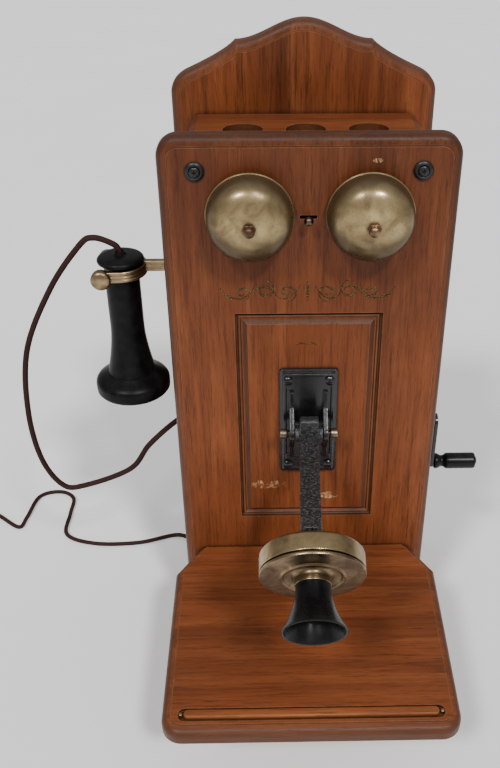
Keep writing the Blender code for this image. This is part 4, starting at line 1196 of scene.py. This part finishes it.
def crank(iron, gloss):
    low, high = box_mm("crank_arm")
    shaft = centre_mm("crank_shaft", "X")
    grip = centre_mm("crank_grip", "X")
    near, far = low.x, low.x + 3.8
    outline = arc(shaft, 8.5, 0, 180, 20) + arc(grip, 6.5, 180, 360, 20)
    extra = {"cuts": [rod("X", shaft, 3.8, near - 4, far + 4)], "soften": 0.7}
    shape = prism(outline, "X", near, far)
    piece("crank_arm_forging", [shape], iron, "crank_arm", "black_iron", "crank", **extra)
    spindle = [(0, far - 1), (2.6, far - 1)]
    spindle += counted(high.x, [(2.6, -1.4), (4.2, -1.4), (3.8, -0.4), (0, 0)])
    shape = turned(softened(spindle, 0.3), "X", grip, 28)
    piece("grip_spindle", [shape], iron, slot="black_iron", body="crank")
    low, high = box_mm("crank_grip")
    inner = [(3, 0), (6.6, 0), (7.8, 0.7), (8.2, 2), (7.9, 4), (6.8, 5.8)]
    inner += [(6.1, 7.4), (5.9, 8.6), (6.2, 10), (7.4, 11.6), (8.2, 12.8), (8.4, 15)]
    outer = [(8.4, -3), (8.2, -1.4), (7.6, -0.4), (6.4, 0), (3, 0)]
    handle = counted(low.x, inner) + counted(high.x, outer)
    shape = turned(handle, "X", grip, 56, closed=True)
    piece("crank_grip_turned", [shape], gloss, "crank_grip", "gloss_black", "grip")


# --- Looks on CAD nodes


def dress_frame(looks):
    """Gives every CAD node that stays in view the look of its material slot."""
    for part in frame["record"]["subparts"]:
        look = looks.get(part["material_slot"])
        if look and part["node"] not in ("left_side", "right_side"):
            wear(frame["nodes"][part["node"]], look)


# --- Stage


def floor():
    look = Look("pale_floor", 0.85)
    cloth = look.noise(3)
    look.set("Base Color", look.mix(cloth, (0.90, 0.89, 0.875), (0.97, 0.965, 0.955)))
    mesh = bpy.data.meshes.new("floor")
    corners = [(x, y, 0) for x, y in rectangle((-6, 6), (-6, 6))]
    mesh.from_pydata(corners, [], [(0, 1, 2, 3)])
    mesh.materials.append(look.material)
    linked("floor", mesh)


def sun(name, towards, power, spread):
    """Soft daylight from a direction; spread is its angular size in degrees."""
    data = bpy.data.lights.new(name, "SUN")
    data.energy = power
    data.angle = radians(spread)
    linked(name, data).rotation_euler = Vector(towards).to_track_quat("Z", "Y").to_euler()


def daylight():
    """Pale light from overhead that falls off towards the room, on a pale backdrop."""
    world = bpy.data.worlds.new("soft_room")
    room = Tree(world, "Background", "Generated")
    fade = room.node("ShaderNodeValToRGB", {"Fac": room.part(room.coords, "Z")})
    low, high = fade.color_ramp.elements
    low.position, low.color = 0, (0.42, 0.41, 0.40, 1)
    high.position, high.color = 0.6, (0.95, 0.97, 1, 1)
    seen = room.node("ShaderNodeLightPath").outputs["Is Camera Ray"]
    room.set("Color", room.mix(seen, fade.outputs["Color"], (1.55, 1.55, 1.55)))
    room.set("Strength", 0.54)
    bpy.context.scene.world = world
    sun("key_left", (-0.34, -0.56, 0.76), 1.62, 9)
    sun("key_right", (0.28, -0.60, 0.75), 1.82, 7)


def camera():
    """Looks down at the telephone's front from just above its height."""
    data = bpy.data.cameras.new("camera")
    data.sensor_width = 36
    data.lens = 42.19
    data.shift_x = -0.0495
    made = linked("camera", data)
    made.location = (-0.0295, -0.7555, 0.748)
    made.rotation_euler = (radians(57.5), 0, radians(-1.09))
    bpy.context.scene.camera = made


# --- Build

STAINED = ((0.205, 0.0545, 0.0165), (0.105, 0.027, 0.0085), (0.350, 0.110, 0.036))
PALE = ((0.30, 0.17, 0.085), (0.2, 0.11, 0.05), (0.38, 0.24, 0.13))
HONEY = ((0.25, 0.075, 0.022), (0.14, 0.040, 0.012), (0.37, 0.130, 0.044))
SCUFFS = ((-41, 197, 11), (-27, 197, 10), (23.5, 183, 9), (54, 518, 4))

# Painted shade colour of the gongs' turned-away and downward-facing surfaces.
GONG_SHADE = (0.085, 0.056, 0.028)
FLECK = (0.070, 0.070, 0.069)

# Bright, tarnish, roughness, tarnish cover, specks and rim of each brass; rim is the painted shade
# colour of surfaces turned away from the front and facing downward.
BRASSES = {
    "gong_bronze": ((0.49, 0.37, 0.18), (0.17, 0.115, 0.052), 0.20, 0.48, 0.5, GONG_SHADE),
    "aged_brass": ((0.47, 0.33, 0.18), (0.20, 0.13, 0.065), 0.26, 0.48, 0.35),
    "dull_nut_brass": ((0.36, 0.23, 0.14), (0.10, 0.055, 0.035), 0.28, 0.52, 0.5),
    "hammer_brown": ((0.17, 0.12, 0.09), (0.06, 0.04, 0.03), 0.22, 0.52, 0.5),
    "spun_brass": ((0.46, 0.34, 0.17), (0.21, 0.14, 0.075), 0.20, 0.5, 0.3),
    "face_brass": ((0.33, 0.24, 0.135), (0.11, 0.070, 0.042), 0.20, 0.54, 0.3),
    "hook_brass": ((0.42, 0.31, 0.18), (0.14, 0.09, 0.050), 0.24, 0.5, 0.4),
    "worn_nickel": ((0.38, 0.31, 0.22), (0.14, 0.10, 0.07), 0.24, 0.5, 0.3),
}

# Colour, roughness, wear, shine, grain, depth and flecks of each black.
BLACKS = {
    "cast_black": ((0.006, 0.006, 0.0065), 0.13, 0.25, 0.6, 420, 0.00016),
    "hammered_black": ((0.009, 0.009, 0.0095), 0.20, 0.4, 0.6, 520, 0.0011, FLECK),
    "black_gloss": ((0.0035, 0.0035, 0.004), 0.20, 0.08, 0.22, 1200, 0.00001),
    "hard_rubber": ((0.0030, 0.0029, 0.0029), 0.30, 0.06, 0.12, 900, 0.00002),
    "screw_black": ((0.006, 0.006, 0.006), 0.3, 0.3, 0.4, 900, 0.00003),
}


def build():
    front_wood = wood_look("front_wood", "Z", (0.13, 0.4, 0.2), STAINED, SCUFFS, "Y", True)
    back_wood = wood_look("back_wood", "Z", (2.3, 0.1, 1.2), STAINED, (), "Y")
    side_wood = wood_look("side_wood", "Z", (1.3, 0.7, 2.2), STAINED)
    shelf_wood = wood_look("shelf_wood", "X", (0.7, 1.9, 0.3), STAINED, (), "Z")
    lath_wood = wood_look("lath_wood", "X", (0.2, 0.9, 2.3), HONEY)
    brass = {name: brass_look(name, *values) for name, values in BRASSES.items()}
    black = {name: black_look(name, *values) for name, values in BLACKS.items()}
    aged, cast, gloss = brass["aged_brass"], black["cast_black"], black["black_gloss"]
    dress_frame(
        {
            "inside_wood": wood_look("bare_wood", "X", (3.1, 0.2, 0.8), PALE),
            "frame_steel": steel_look(),
            "coil_copper": winding_look(),
            "black_iron": cast,
            "head_brass": aged,
            "hook_brass": brass["hook_brass"],
            "gear_brass": aged,
            "cell_jacket": paper_look(),
        }
    )
    front_board(front_wood)
    back_board(back_wood)
    box_boards(side_wood, shelf_wood)
    writing_shelf(shelf_wood, lath_wood, aged)
    shelf_braces(side_wood)
    board_screws(black["screw_black"])
    gilt_ornament(gilt_look())
    for side in SIDES:
        gong(side, brass["gong_bronze"])
        gong_fixings(side, brass["dull_nut_brass"])
    clapper(brass["hammer_brown"])
    bracket(cast, brass["worn_nickel"])
    arm(black["hammered_black"], aged)
    transmitter_head(brass["spun_brass"], brass["face_brass"], gloss)
    receiver(black["hard_rubber"])
    cords(braid_look())
    hook(brass["hook_brass"])
    crank(cast, gloss)
    floor()
    daylight()
    camera()


build()
